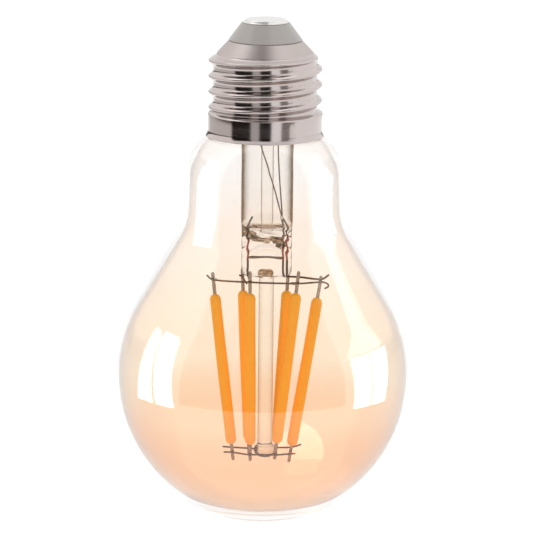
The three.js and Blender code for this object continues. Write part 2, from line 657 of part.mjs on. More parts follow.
function addDriver() {
  add('driver_board', bar(BOARD_DIAMETER, boardFootZ, boardTopZ, ROUND), materials.greenBoard);
  add('live_wire', wire(liveWirePoints(), HOOKUP_DIAMETER), materials.nickelWire);
  add('neutral_wire', wire(neutralWirePoints(), HOOKUP_DIAMETER), materials.nickelWire);
  const middleOf = (height, upperSide) => (
    upperSide ? boardTopZ + FIT + height / 2 : boardFootZ - FIT - height / 2);
  COMPONENTS.forEach(({ name, size, x, y, upperSide }) => {
    const body = box(...size).translate(x, y, middleOf(size[2], upperSide));
    add(name, body, upperSide ? materials.blackPackage : materials.capacitorBody);
  });
  const resistorR = RESISTOR_DIAMETER / 2;
  const resistor = new THREE.CylinderGeometry(resistorR, resistorR, RESISTOR_LENGTH, 12)
    .rotateZ(Math.PI / 2)
    .translate(0, RESISTOR_Y, middleOf(RESISTOR_DIAMETER, false));
  add('fusible_resistor', resistor, materials.resistorBody);
}

// ---- Assembly -----------------------------------------------------------------------------
function addCap() {
  add('centre_contact', centreContact(), materials.tinnedContact);
  add('cap_insulator', capInsulator(), materials.capGlass);
  add('screw_shell', screwShell(), materials.nickelShell);
  add('cap_cement', capCement(), materials.cement);
}

function addGlass() {
  add('glass_envelope', glassEnvelope(), materials.amberGlass);
  add('flare_tube', flareTube(), materials.clearGlass, stem);
  add('stem_press', stemPress(), materials.clearGlass, stem);
  add('exhaust_tube', exhaustTube(), materials.clearGlass, stem);
  add('centre_rod', centreRod(), materials.clearGlass, stem);
  add('rod_button', rodButton(), materials.clearGlass, stem);
}

function addWires() {
  const nickel = materials.nickelWire;
  add('front_rail', wire(frontRailPoints(), RAIL_DIAMETER), nickel, stem);
  add('bridge_wire', wire(bridgeWirePoints(), RAIL_DIAMETER), nickel, stem);
  add('lower_wire_front', wire(lowerFrontPoints(), RAIL_DIAMETER), nickel, stem);
  add('lower_wire_rear', wire(lowerRearPoints(), RAIL_DIAMETER), nickel, stem);
  add('inner_lead_left', wire(leftLeadPoints(), INNER_LEAD_DIAMETER), nickel, stem);
  add('inner_lead_right', wire(rightLeadPoints(), INNER_LEAD_DIAMETER), nickel, stem);
  add('inner_lead_spare', wire(spareLeadPoints(), INNER_LEAD_DIAMETER), nickel, stem);
  add('outer_lead_front', wire(frontOuterLeadPoints(), OUTER_LEAD_DIAMETER), nickel, stem);
  add('outer_lead_rear', wire(rearOuterLeadPoints(), OUTER_LEAD_DIAMETER), nickel, stem);
  const stub = sealWirePoints(LEFT_LEAD_X + 0.8, LEFT_LEAD_X, 0);
  const right = sealWirePoints(RIGHT_LEAD_X - 0.3, RIGHT_LEAD_X, RIGHT_LEAD_Y);
  const spare = sealWirePoints(SPARE_LEAD_X - 1, SPARE_LEAD_X, SPARE_LEAD_Y);
  add('seal_wire_left', wire(stub, DUMET_DIAMETER), materials.redSeal, stem);
  add('seal_wire_right', wire(right, DUMET_DIAMETER), materials.redSeal, stem);
  add('seal_wire_spare', wire(spare, DUMET_DIAMETER), materials.redSeal, stem);
  add('link_wire', wire(linkWirePoints(2 * FIT), DUMET_DIAMETER, 4), nickel, stem);
}

addCap();
addGlass();
FILAMENTS.forEach(addFilament);
addWires();
addDriver();

export default lamp;
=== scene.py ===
"""Looks of a screw-cap filament lamp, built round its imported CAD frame.

The lamp hangs below its centre contact along the Z axis. Sizes are in millimetres and are turned
into metres when a mesh is made. Places come from the frame's own boxes.
"""
import logging
import math
from dataclasses import dataclass, field, replace
from enum import Enum
from typing import Sequence

import bpy
import numpy as np
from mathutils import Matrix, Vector


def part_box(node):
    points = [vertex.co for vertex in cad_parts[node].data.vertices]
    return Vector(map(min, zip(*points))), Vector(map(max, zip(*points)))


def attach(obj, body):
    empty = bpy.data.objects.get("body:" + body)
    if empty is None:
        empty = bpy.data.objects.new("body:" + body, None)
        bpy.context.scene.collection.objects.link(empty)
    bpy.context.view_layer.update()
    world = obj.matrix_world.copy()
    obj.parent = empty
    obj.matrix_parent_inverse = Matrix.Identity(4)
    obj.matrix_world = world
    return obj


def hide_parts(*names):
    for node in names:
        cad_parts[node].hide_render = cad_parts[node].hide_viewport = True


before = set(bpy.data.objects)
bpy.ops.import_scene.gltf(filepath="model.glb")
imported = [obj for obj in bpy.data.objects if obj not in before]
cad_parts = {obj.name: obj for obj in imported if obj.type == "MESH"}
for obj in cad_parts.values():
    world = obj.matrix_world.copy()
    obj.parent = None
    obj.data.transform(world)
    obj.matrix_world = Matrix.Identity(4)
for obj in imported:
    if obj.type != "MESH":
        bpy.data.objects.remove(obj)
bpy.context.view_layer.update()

MM = 0.001
BODY = "root"
COMPARE_REACH = 0.25
EVEN_GRAIN = (1, 1, 1)
Array = np.ndarray
Colour = tuple[float, float, float]
Point = tuple[float, float, float]
log = logging.getLogger("lamp")


# ---- Shader graphs ------------------------------------------------------------------------
@dataclass(frozen=True)
class Signal:
    """A node's output that can be used in arithmetic; each operation adds one Math node."""

    graph: "Graph"
    socket: bpy.types.NodeSocket

    def __add__(self, other: "Signal | float") -> "Signal":
        """Sum."""
        return self.graph.maths("ADD", self, other)

    __radd__ = __add__

    def __mul__(self, other: "Signal | float") -> "Signal":
        """Product."""
        return self.graph.maths("MULTIPLY", self, other)

    __rmul__ = __mul__

    def __sub__(self, other: "Signal | float") -> "Signal":
        """Difference."""
        return self.graph.maths("SUBTRACT", self, other)

    def __rsub__(self, other: "Signal | float") -> "Signal":
        """Difference the other way round."""
        return self.graph.maths("SUBTRACT", other, self)

    def __pow__(self, other: "Signal | float") -> "Signal":
        """Power."""
        return self.graph.maths("POWER", self, other)


class Graph:
    """The node tree of a new material, with short ways to add to it."""

    def __init__(self, name: str) -> None:
        """Make an empty material of that name.

        Args:
            name: name of the material.
        """
        self.material = bpy.data.materials.new(name)
        self.material.use_nodes = True
        self.tree = self.material.node_tree
        self.tree.nodes.clear()

    def feed(self, socket: bpy.types.NodeSocket, value: object) -> None:
        """Link a signal to an input, or set the input's own value.

        Args:
            socket: the input.
            value: a Signal, a number, or a colour or vector.
        """
        if isinstance(value, Signal):
            self.tree.links.new(value.socket, socket)
        elif socket.type == "RGBA" and len(value) == 3:
            socket.default_value = (*value, 1.0)
        else:
            socket.default_value = value

    def add(self, kind: str, settings: dict | None = None, sockets: dict | None = None,
            output: str | int = 0) -> Signal:
        """Add a node: its settings first, then the values or links of its inputs.

        Args:
            kind: the node's type.
            settings: attributes of the node; "stops" sets a ramp's positions and colours.
            sockets: inputs by name or number.
            output: which output to return.

        Returns:
            The chosen output.
        """
        node = self.tree.nodes.new(kind)
        for key, value in (settings or {}).items():
            if key == "stops":
                self._set_stops(node.color_ramp, value)
            else:
                setattr(node, key, value)
        for key, value in (sockets or {}).items():
            self.feed(node.inputs[key], value)
        return Signal(self, node.outputs[output])

    @staticmethod
    def _set_stops(ramp: bpy.types.ColorRamp, stops: Sequence[tuple[float, Colour]]) -> None:
        """Replace a ramp's stops.

        Args:
            ramp: the ramp.
            stops: position and colour of each stop, in order.
        """
        while len(ramp.elements) < len(stops):
            ramp.elements.new(1.0)
        for element, (position, colour) in zip(ramp.elements, stops):
            element.position = position
            element.color = (*colour, 1.0)

    def maths(self, operation: str, first: "Signal | float", second: "Signal | float") -> Signal:
        """One Math node on two values."""
        return self.add("ShaderNodeMath", {"operation": operation}, {0: first, 1: second, 2: COMPARE_REACH})

    def place(self, stretch: Point = (1, 1, 1)) -> Signal:
        """Object coordinates, scaled along each axis.

        Args:
            stretch: scale along X, Y and Z.

        Returns:
            The coordinates.
        """
        coordinates = self.add("ShaderNodeTexCoord", output="Object")
        return self.add("ShaderNodeMapping", {}, {"Vector": coordinates, "Scale": stretch})

    def height(self) -> Signal:
        """Height of the surface point along the lamp's axis, in metres."""
        coordinates = self.add("ShaderNodeTexCoord", output="Object")
        return self.add("ShaderNodeSeparateXYZ", {}, {"Vector": coordinates}, "Z")

    def noise(self, size_mm: float, stretch: Point = (1, 1, 1), detail: float = 2.0) -> Signal:
        """Smooth noise from 0 to 1.

        Args:
            size_mm: rough size of one patch, in millimetres.
            stretch: how much finer the pattern is along each axis.
            detail: number of finer layers.

        Returns:
            The noise value.
        """
        sockets = {"Vector": self.place(stretch), "Scale": 1 / (size_mm * MM), "Detail": detail}
        return self.add("ShaderNodeTexNoise", {}, sockets, "Fac")

    def between(self, share: Signal, low: float, high: float) -> Signal:
        """The share from 0 to 1 carried on to low ... high."""
        return share * (high - low) + low

    def blend(self, share: Signal, first: "Colour | Signal", second: "Colour | Signal") -> Signal:
        """Mix of two colours.

        Args:
            share: 0 gives the first colour, 1 the second.
            first: a colour.
            second: a colour.

        Returns:
            The mixed colour.
        """
        node = self.tree.nodes.new("ShaderNodeMix")
        node.data_type = "RGBA"
        self.feed(node.inputs["Factor"], share)
        for ends, value in (("A", first), ("B", second)):
            sockets = [socket for socket in node.inputs if socket.name == ends and socket.type == "RGBA"]
            self.feed(sockets[0], value)
        return Signal(self, next(socket for socket in node.outputs if socket.type == "RGBA"))

    def bump(self, height: Signal, depth_mm: float, strength: float = 1.0) -> Signal:
        """A Bump node for a relief of the given depth."""
        sockets = {"Height": height, "Distance": depth_mm * MM, "Strength": strength}
        return self.add("ShaderNodeBump", {}, sockets)

    def principled(self, **sockets: object) -> Signal:
        """A Principled shader; underscores in the names stand for spaces."""
        named = {key.replace("_", " "): value for key, value in sockets.items()}
        return self.add("ShaderNodeBsdfPrincipled", {}, named)

    def ramp_in_height(self, low_mm: float, high_mm: float) -> Signal:
        """Share from 0 at the lower height to 1 at the higher one, eased at both ends."""
        sockets = {"Value": self.height(), "From Min": low_mm * MM, "From Max": high_mm * MM}
        return self.add("ShaderNodeMapRange", {"interpolation_type": "SMOOTHSTEP"}, sockets)

    def facing(self) -> Signal:
        """0 where the surface is seen square on, 1 where it is seen edge-on."""
        return self.add("ShaderNodeLayerWeight", {}, {"Blend": 0.5}, "Facing")

    def finish(self, surface: Signal) -> bpy.types.Material:
        """Send a shader to the output.

        Args:
            surface: the shader.

        Returns:
            The finished material.
        """
        node = self.tree.nodes.new("ShaderNodeOutputMaterial")
        self.tree.links.new(surface.socket, node.inputs["Surface"])
        return self.material


# ---- Finishes -----------------------------------------------------------------------------
@dataclass(frozen=True)
class Metal:
    """Bare or plated metal: slightly uneven tone, drawing lines round the axis, faint relief."""

    name: str
    colour: Colour
    stain: Colour
    polish: float = 0.12
    scatter: float = 0.08
    grain_mm: float = 0.25
    grain: Point = (0.02, 0.02, 1.0)
    relief_mm: float = 0.002

    def material(self) -> bpy.types.Material:
        """Build the finish.

        Returns:
            The material.
        """
        g = Graph(self.name)
        lines = g.noise(self.grain_mm, self.grain, 3.0)
        patches = g.noise(self.grain_mm * 16, detail=3.0)
        return g.finish(g.principled(
            Base_Color=g.blend(patches, self.colour, self.stain),
            Metallic=1.0,
            Roughness=g.between(lines, self.polish, self.polish + self.scatter),
            Normal=g.bump(lines, self.relief_mm),
        ))


@dataclass(frozen=True)
class ShellNickel(Metal):
    """Plated shell: polished thread and skirt, and a cone brushed along its slope."""

    satin_from: float = 0.0
    satin_to: float = 1.0
    satin: float = 0.26
    speck_gap_mm: float = 1000 / 260
    speck_size: float = 0.035
    speck_colour: Colour = (0.10, 0.07, 0.06)

    def material(self) -> bpy.types.Material:
        """Build the finish.

        Returns:
            The material.
        """
        g = Graph(self.name)
        lines = g.noise(self.grain_mm, self.grain, 3.0)
        brushed = g.noise(0.3, (1.0, 1.0, 0.06), 2.0)
        patches = g.noise(4.0, detail=3.0)
        cells = {"Vector": g.place(), "Scale": 1 / (self.speck_gap_mm * MM)}
        specks = g.add("ShaderNodeTexVoronoi", {"feature": "F1"}, cells, "Distance")
        speck = g.maths("LESS_THAN", specks, self.speck_size)
        share = g.ramp_in_height(self.satin_from, self.satin_to)
        polished = g.between(lines, self.polish, self.polish + self.scatter)
        relief = lines * (1 - share) + brushed * share * 3
        colour = g.blend(patches, self.colour, self.stain)
        return g.finish(g.principled(
            Base_Color=g.blend(speck * 0.5, colour, self.speck_colour),
            Metallic=1.0,
            Roughness=polished + share * g.between(brushed, self.satin * 0.8, self.satin * 1.2),
            Normal=g.bump(relief, self.relief_mm),
        ))


@dataclass(frozen=True)
class SealCopper(Metal):
    """Borated copper wire: red where the glass grips it, dull brown in the open."""

    open_colour: Colour = (0.16, 0.11, 0.08)
    seal_height: float = 0.0
    blend_mm: float = 0.8

    def material(self) -> bpy.types.Material:
        """Build the finish.

        Returns:
            The material.
        """
        g = Graph(self.name)
        patches = g.noise(self.grain_mm * 3, detail=3.0)
        share = g.ramp_in_height(self.seal_height, self.seal_height + self.blend_mm)
        red = g.blend(patches, self.colour, self.stain)
        return g.finish(g.principled(
            Base_Color=g.blend(share, red, self.open_colour),
            Metallic=g.between(share, 0.35, 0.9),
            Roughness=g.between(patches, self.polish, self.polish + self.scatter),
            Normal=g.bump(patches, self.relief_mm),
        ))


@dataclass(frozen=True)
class Coated:
    """Plain opaque coat or moulding: mottled colour, uneven gloss, fine relief."""

    name: str
    colour: Colour
    mottle: Colour
    rough: float = 0.5
    scatter: float = 0.15
    patch_mm: float = 1.5
    relief_mm: float = 0.02
    coat: float = 0.0
    glow: float = 0.0

    def material(self) -> bpy.types.Material:
        """Build the finish.

        Returns:
            The material.
        """
        g = Graph(self.name)
        patches = g.noise(self.patch_mm, detail=3.0)
        fine = g.noise(self.patch_mm / 6, detail=2.0)
        colour = g.blend(patches, self.colour, self.mottle)
        return g.finish(g.principled(
            Base_Color=colour,
            Roughness=g.between(fine, self.rough, self.rough + self.scatter),
            Coat_Weight=self.coat,
            # Emission in the surface's own colour: the floor's even brightness, and painted glow on a part
            # that is no lamp.
            Emission_Color=colour,
            Emission_Strength=self.glow,
            Normal=g.bump(fine, self.relief_mm),
        ))


@dataclass(frozen=True)
class ClearGlass:
    """Clear glass with painted shade where it is seen edge-on: its colour darkens towards the edge colour.
    """

    name: str
    colour: Colour = (0.985, 0.98, 0.97)
    edge: Colour = (0.55, 0.47, 0.38)
    edge_power: float = 4.0
    wave_mm: float = 6.0
    relief_mm: float = 0.01
    clear_foot: float = -1000.0
    fade: float = 16.0

    def material(self) -> bpy.types.Material:
        """Build the finish; the painted edge shade fades out towards the clear foot.

        Returns:
            The material.
        """
        g = Graph(self.name)
        painted_edge_shade_share = g.ramp_in_height(self.clear_foot, self.clear_foot + self.fade)
        waves = g.noise(self.wave_mm)
        return g.finish(g.principled(
            # Painted shade: the colour darkens to the edge colour where the surface is seen edge-on, in
            # place of the dark refraction at the glass's edges.
            Base_Color=g.blend(g.facing() ** self.edge_power * painted_edge_shade_share, self.colour, self.edge),
            Roughness=0.0,
            IOR=1.5,
            Transmission_Weight=1.0,
            Normal=g.bump(waves, self.relief_mm),
        ))


@dataclass(frozen=True)
class FoldedGlass:
    """Streaked glass where the soft tube folded shut: dark, amber and clear in turn, the dark and amber
    streaks painted shade and painted refraction.
    """

    name: str
    # Painted shade: the dark and amber stops stand in for the shade and refraction in the folds; the pale
    # stop is clear glass.
    stops: tuple[tuple[float, Colour], ...] = (
        (0.30, (0.05, 0.04, 0.025)),
        (0.42, (0.22, 0.17, 0.10)),
        (0.50, (0.62, 0.36, 0.14)),
        (0.58, (0.95, 0.88, 0.76)),
        (0.70, (0.30, 0.24, 0.15)),
    )
    streak_mm: float = 0.9

    def material(self) -> bpy.types.Material:
        """Build the finish.

        Returns:
            The material.
        """
        g = Graph(self.name)
        streaks = g.noise(self.streak_mm, (0.7, 0.7, 1.6), 3.0)
        return g.finish(g.principled(
            Base_Color=g.add("ShaderNodeValToRGB", {"stops": self.stops}, {"Fac": streaks}),
            Roughness=g.between(streaks, 0.02, 0.12),
            IOR=1.4,
            Transmission_Weight=0.85,
            Normal=g.bump(streaks, 0.15),
        ))


@dataclass(frozen=True)
class AmberCoat:
    """Inner face of the globe: a gold coat that starts at the neck and deepens to the foot."""

    name: str
    top_mm: float
    foot_mm: float
    stops: tuple[tuple[float, Colour], ...] = (
        (0.0, (0.95, 0.92, 0.90)),
        (0.085, (0.985, 0.885, 0.80)),
        (0.145, (0.985, 0.875, 0.79)),
        (0.26, (0.985, 0.885, 0.755)),
        (0.38, (0.985, 0.81, 0.64)),
        (0.50, (0.985, 0.81, 0.61)),
        (0.61, (0.985, 0.80, 0.59)),
        (0.69, (0.975, 0.59, 0.37)),
        (0.75, (0.97, 0.52, 0.295)),
        (0.85, (0.96, 0.54, 0.31)),
        (1.0, (0.965, 0.60, 0.38)),
    )
    edge: Colour = (0.70, 0.48, 0.31)
    edge_power: float = 2.4

    def material(self) -> bpy.types.Material:
        """Build the finish.

        Returns:
            The material.
        """
        g = Graph(self.name)
        drop = self.top_mm * MM - g.height()
        share = drop * (1 / ((self.top_mm - self.foot_mm) * MM))
        cloud = g.noise(22.0)
        tint = g.add("ShaderNodeValToRGB", {"stops": self.stops}, {"Fac": share + cloud * 0.08 - 0.04})
        return g.finish(g.principled(
            Base_Color=g.blend(g.facing() ** self.edge_power, tint, self.edge),
            Roughness=0.0,
            IOR=1.5,
            Specular_IOR_Level=0.8,
            Transmission_Weight=1.0,
        ))


# ---- Curves and surfaces ------------------------------------------------------------------
class Ends(Enum):
    """How a grid of rows closes."""

    POLES = "first and last row are single points"
    RING = "last row joins the first"


def smooth(x: Array, low: float, high: float) -> Array:
    """0 below low, 1 above high, 3t^2 - 2t^3 between."""
    t = np.clip((x - low) / (high - low), 0, 1)
    return t * t * (3 - 2 * t)


def arc(r: float, z: float, radius: float, start: float, stop: float, count: int = 12) -> Array:
    """Points of an arc about (r, z).

    Args:
        r: centre's distance from the axis.
        z: centre's height.
        radius: radius of the arc.
        start: first angle in degrees from the outward direction.
        stop: last angle.
        count: number of points.

    Returns:
        One (r, z) row per point.
    """
    turn = np.radians(np.linspace(start, stop, count))
    return np.column_stack((r + radius * np.cos(turn), z + radius * np.sin(turn)))


def even(outline: Array, count: int) -> Array:
    """The outline with evenly spaced points, by linear steps along its length.

    Args:
        outline: (r, z) or (x, y, z) rows.
        count: number of points wanted.

    Returns:
        The new rows.
    """
    length = np.concatenate(([0.0], np.cumsum(np.linalg.norm(np.diff(outline, axis=0), axis=1))))
    steps = np.linspace(0, length[-1], count)
    return np.column_stack([np.interp(steps, length, column) for column in outline.T])


def spin(profile: Array, sides: int) -> Array:
    """Surface of revolution: row i is the circle of radius r_i at height z_i.

    Args:
        profile: (r, z) rows.
        sides: points round each circle.

    Returns:
        Points, by row and side.
    """
    turn = 2 * np.pi * np.arange(sides) / sides
    r, z = profile[:, :1], profile[:, 1:]
    return np.stack((r * np.cos(turn), r * np.sin(turn), z + 0 * turn), axis=-1)


def spline(knots: Sequence[Point], per_span: int = 10) -> Array:
    """Catmull-Rom curve through the knots: a cubic between each pair whose slope at a knot
    is half the step between its neighbours.

    Args:
        knots: points that the curve passes through.
        per_span: steps between two knots.

    Returns:
        Points of the curve.
    """
    p = np.asarray(knots, float)
    p = np.vstack((2 * p[0] - p[1], p, 2 * p[-1] - p[-2]))
    a, b, c, d = p[:-3], p[1:-2], p[2:-1], p[3:]
    t = np.linspace(0, 1, per_span, endpoint=False)[:, None, None]
    square, cube = 2 * a - 5 * b + 4 * c - d, 3 * b - a - 3 * c + d
    curve = 0.5 * (2 * b + (c - a) * t + square * t**2 + cube * t**3)
    return np.vstack((curve.transpose(1, 0, 2).reshape(-1, 3), p[-2]))


def sweep(path: Array, radius: float, sides: int = 16, cap_rings: int = 5,
          section: tuple[float, float] = (1.0, 1.0)) -> Array:
    """Round-ended tube: circles square to the path, shrinking over each end as a half sphere does.

    Args:
        path: points of the middle line.
        radius: radius of the tube.
        sides: points round it.
        cap_rings: rows in each rounded end.
        section: stretch of the section along its two directions.

    Returns:
        Points, by row and side.
    """
    tangent = np.gradient(path, axis=0)
    tangent /= np.linalg.norm(tangent, axis=1, keepdims=True)
    swing = np.linspace(0, np.pi / 2, cap_rings + 1)
    head = path[0] - tangent[0] * radius * np.cos(swing)[:-1, None]
    tail = path[-1] + tangent[-1] * radius * np.sin(swing)[1:, None]
    width = np.concatenate((np.sin(swing)[:-1], np.ones(len(path)), np.cos(swing)[1:])) * radius
    line = np.vstack((head, path, tail))
    first, last = (np.repeat(end, cap_rings, 0) for end in (tangent[:1], tangent[-1:]))
    lead = np.vstack((first, tangent, last))
    reference = np.eye(3)[np.argmin(np.abs(lead).max(axis=0))]
    side = reference - (lead @ reference)[:, None] * lead
    side /= np.linalg.norm(side, axis=1, keepdims=True)
    up = np.cross(lead, side)
    turn = 2 * np.pi * np.arange(sides) / sides
    ring = (side[:, None] * np.cos(turn)[:, None] * section[0]
            + up[:, None] * np.sin(turn)[:, None] * section[1])
    return line[:, None] + width[:, None, None] * ring


def scale_rows(grid: Array, factor: Array) -> Array:
    """Each row of a grid scaled about its own middle by its own factor.

    Args:
        grid: points by row and side.
        factor: one number per row.

    Returns:
        The new points.
    """
    middle = grid.mean(axis=1, keepdims=True)
    return middle + (grid - middle) * factor[:, None, None]


def rounded_block(size: Point, corner: float, centre: Point, rows: int = 25, sides: int = 48) -> Array:
    """Block with rounded edges: a sphere of the corner's radius, pulled apart to the block's size.

    Args:
        size: width, depth and height.
        corner: radius of the edges.
        centre: middle of the block.
        rows: points from pole to pole.
        sides: points round it.

    Returns:
        Points, by row and side.
    """
    ball = spin(arc(0, 0, corner, -90, 90, rows), sides)
    core = np.asarray(size) / 2 - corner
    grid = ball + np.sign(np.round(ball, 9)) * core
    return grid + np.asarray(centre)


def grid_faces(rows: int, sides: int, ends: Ends) -> list[list[int]]:
    """Faces of a grid whose sides always wrap round.

    Args:
        rows: number of rows.
        sides: points in a row.
        ends: how the rows close.

    Returns:
        Vertex numbers of each face, facing out.
    """
    side = np.arange(sides)
    after = (side + 1) % sides
    if ends is Ends.RING:
        row = np.arange(rows)[:, None] * sides
        above = (np.arange(1, rows + 1) % rows)[:, None] * sides
        quads = np.stack((row + side, row + after, above + after, above + side), -1)
        return quads.reshape(-1, 4).tolist()
    row = np.arange(rows - 3)[:, None] * sides + 1
    above = row + sides
    quads = np.stack((row + side, row + after, above + after, above + side), -1).reshape(-1, 4)
    last = (rows - 3) * sides + 1
    foot = np.stack((0 * side, after + 1, side + 1), -1)
    top = np.stack((last + side, last + after, 0 * side + last + sides), -1)
    return foot.tolist() + quads.tolist() + top.tolist()


def make_piece(name: str, grid: Array, ends: Ends, materials: Sequence[bpy.types.Material],
               zones: Array | None = None) -> bpy.types.Object:
    """A closed mesh object from a grid of points.

    Args:
        name: name of the object.
        grid: points in millimetres, by row and side.
        ends: how the rows close.
        materials: its materials.
        zones: number of the material for each row of faces, or None for the first.

    Returns:
        The object, at the origin.
    """
    rows, sides = grid.shape[:2]
    points = grid.reshape(-1, 3)
    if ends is Ends.POLES:
        points = np.vstack((grid[0, :1], grid[1:-1].reshape(-1, 3), grid[-1, :1]))
    mesh = bpy.data.meshes.new(name)
    mesh.from_pydata((points * MM).tolist(), [], grid_faces(rows, sides, ends))
    mesh.shade_smooth()
    for material in materials:
        mesh.materials.append(material)
    if zones is not None:
        mesh.polygons.foreach_set("material_index", np.repeat(zones, sides).astype(np.int32))
    mesh.update()
    piece = bpy.data.objects.new(name, mesh)
    bpy.context.scene.collection.objects.link(piece)
    return piece


@dataclass(frozen=True)
class Extent:
    """The box of a CAD node, in millimetres."""

    low: Array
    high: Array

    @classmethod
    def of(cls, node: str) -> "Extent":
        """Box of the named node."""
        low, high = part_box(node)
        return cls(np.array(low) / MM, np.array(high) / MM)

    @property
    def radius(self) -> float:
        """Half the width along X."""
        return float(self.high[0] - self.low[0]) / 2

    @property
    def foot(self) -> float:
        """Lowest height."""
        return float(self.low[2])

    @property
    def top(self) -> float:
        """Highest height."""
        return float(self.high[2])

    @property
    def centre(self) -> Array:
        """Middle of the box."""
        return (self.low + self.high) / 2

    @property
    def size(self) -> Array:
        """Size of the box."""
        return self.high - self.low


class SubAssembly:
    """What every sub-assembly does with its finished pieces."""

    def fit(self, piece: bpy.types.Object, slot: str, *nodes: str) -> None:
        """Let a piece ride on the lamp and stand for its CAD nodes.

        Args:
            piece: the new piece.
            slot: not used.
            nodes: CAD nodes that it replaces.
        """
        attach(piece, BODY)
        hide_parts(*nodes)
        log.info("%s: %d faces", piece.name, len(piece.data.polygons))

    def dress(self, node: str, material: bpy.types.Material) -> None:
        """Give a CAD node that stays a better material.

        Args:
            node: the CAD node.
            material: its new material.
        """
        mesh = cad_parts[node].data
        mesh.materials.clear()
        mesh.materials.append(material)
        log.info("%s: dressed", node)


# ---- Cap ----------------------------------------------------------------------------------
@dataclass
class ScrewCap(SubAssembly):
    """Contact, insulator, threaded shell and cement."""

    pitch: float = 3.629
    crest_height: float = -11.4
    root: float = 12.1
    crest: float = 13.2
    wall: float = 0.35
    mouth: float = 8.5
    cone_height: float = 2.9
    cone_foot: float = 11.2
    skirt: float = 13.25
    skirt_height: float = 5.0
    rim_height: float = 1.5
    sides: int = 192
    shell: Extent = field(default_factory=lambda: Extent.of("screw_shell"))

    def build(self) -> None:
        """Make and fit every piece of the cap."""
        self.build_contact()
        self.build_insulator()
        self.build_shell()
        self.build_cement()

    def build_contact(self) -> None:
        """Tinned button: a flat face, a soft shoulder and a thin foot flange."""
        box = Extent.of("centre_contact")
        face = box.radius - 1.05
        profile = np.vstack((
            [[0, box.foot], [box.radius - 0.06, box.foot]],
            arc(box.radius - 0.06, box.foot + 0.06, 0.06, -90, 90, 8),
            arc(box.radius - 0.3, box.foot + 0.3, 0.18, -90, -180, 5),
            arc(face, box.top - 0.35, 0.35, 0, 90, 12),
            [[0, box.top]],
        ))
        metal = Metal("dull_tin", (0.82, 0.81, 0.79), (0.72, 0.71, 0.69), polish=0.16, scatter=0.12,
                      grain_mm=0.5, grain=EVEN_GRAIN, relief_mm=0.01)
        grid = spin(even(profile, 140), 96)
        self.fit(make_piece("contact_button", grid, Ends.POLES, [metal.material()]), "contact_tin",
                 "centre_contact")

    def build_insulator(self) -> None:
        """Cone of fused grey glass with a rounded top edge and a passage for the live wire."""
        box = Extent.of("cap_insulator")
        hole, top = 0.9, box.top
        lip = self.shell.top + 0.05
        throat = self.mouth - self.wall - 0.05
        profile = np.vstack((
            [[hole, top - 1.6], [hole + 1.6, top - 3.2], [box.radius - 1.8, box.foot + 0.1]],
            [[box.radius - 1.6, box.foot], [box.radius, box.foot]],
            [[throat, self.shell.top - self.wall], [throat, lip], [self.mouth - 0.12, lip]],
            arc(self.mouth - 0.12, lip + 0.12, 0.12, -90, 30, 5),
            arc(5.7 - 0.3, top - 0.3, 0.3, 34, 90, 6),
            [[hole, top], [hole, top - 1.5]],
        ))
        glass = Coated("fused_grey_glass", (0.38, 0.35, 0.33), (0.35, 0.325, 0.305), rough=0.28,
                       scatter=0.1, patch_mm=3.0, relief_mm=0.004, coat=0.25)
        grid = spin(even(profile, 220), 128)
        self.fit(make_piece("insulator_cone", grid, Ends.RING, [glass.material()]), "insulator_glass",
                 "cap_insulator")

    def thread_rise(self, z: Array, turn: Array) -> Array:
        """Height of the rolled thread: the square of half of one plus the cosine of the phase, where
        the phase climbs one turn per pitch and falls one turn per turn round the axis, faded at
        both ends. The square leaves a wide root between narrow crests.

        Args:
            z: heights.
            turn: angles.

        Returns:
            Rise above the root.
        """
        phase = 2 * np.pi * (z - self.crest_height) / self.pitch - turn
        top = self.shell.top - self.cone_height
        foot = self.shell.foot + self.skirt_height
        fade = smooth(z, foot - self.pitch / 8, foot + self.pitch / 3)
        fade = fade * (1 - smooth(z, top - self.pitch / 3, top))
        return ((1 + np.cos(phase)) / 2) ** 2 * fade * (self.crest - self.root)

    def build_shell(self) -> None:
        """Thin rolled shell: cone, right-hand thread, plain skirt and flared rim."""
        top = self.shell.top - self.cone_height
        foot = self.shell.foot + self.skirt_height
        rise = np.linspace(0, 1, 24)
        rim = np.column_stack((
            self.skirt + (self.shell.radius - self.skirt) * (1 - np.sin(rise * np.pi / 2)),
            self.shell.foot + self.rim_height * rise,
        ))
        z = np.linspace(foot, top, 190)
        band = self.skirt + (self.root - self.skirt) * smooth(z, foot, foot + self.pitch / 3)
        band = band + (self.cone_foot - band) * smooth(z, top - self.pitch / 3, top)
        cone = np.linspace((self.cone_foot, top), (self.mouth, self.shell.top), 20)
        outer = np.vstack((rim, [[self.skirt, foot - 1.7]], np.column_stack((band, z)), cone[1:]))
        inner = (outer - [self.wall, 0])[::-1]
        grid = spin(np.vstack((outer, inner)), self.sides)
        turn = np.arctan2(grid[..., 1], grid[..., 0])
        radius = np.hypot(grid[..., 0], grid[..., 1])
        grid[..., :2] *= (1 + self.thread_rise(grid[..., 2], turn) / radius)[..., None]
        metal = ShellNickel("polished_nickel", (0.535, 0.475, 0.46), (0.50, 0.44, 0.42), 0.10, 0.08,
                            satin_from=top - 0.3, satin_to=top + 0.3)
        self.fit(make_piece("threaded_shell", grid, Ends.RING, [metal.material()]), "nickel_shell",
                 "screw_shell")

    def build_cement(self) -> None:
        """Ring of cement between neck and skirt, with a slightly sagged surface."""
        box = Extent.of("cap_cement")
        inner, step = 11.3, box.foot + 2.6
        profile = np.vstack((
            arc(inner + 0.2, box.foot + 0.2, 0.2, -180, -90, 4),
            arc(box.radius - 0.2, box.foot + 0.2, 0.2, -90, 0, 4),
            [[box.radius, step], [11.7, step + 0.05], [11.7, box.top]],
            [[inner, box.top], [inner, box.foot + 0.3]],
        ))
        cement = Coated("set_cement", (0.45, 0.42, 0.38), (0.36, 0.33, 0.30), 0.8, 0.15, 0.8, 0.08)
        grid = spin(even(profile, 90), 96)
        self.fit(make_piece("cement_ring", grid, Ends.RING, [cement.material()]), "cement", "cap_cement")


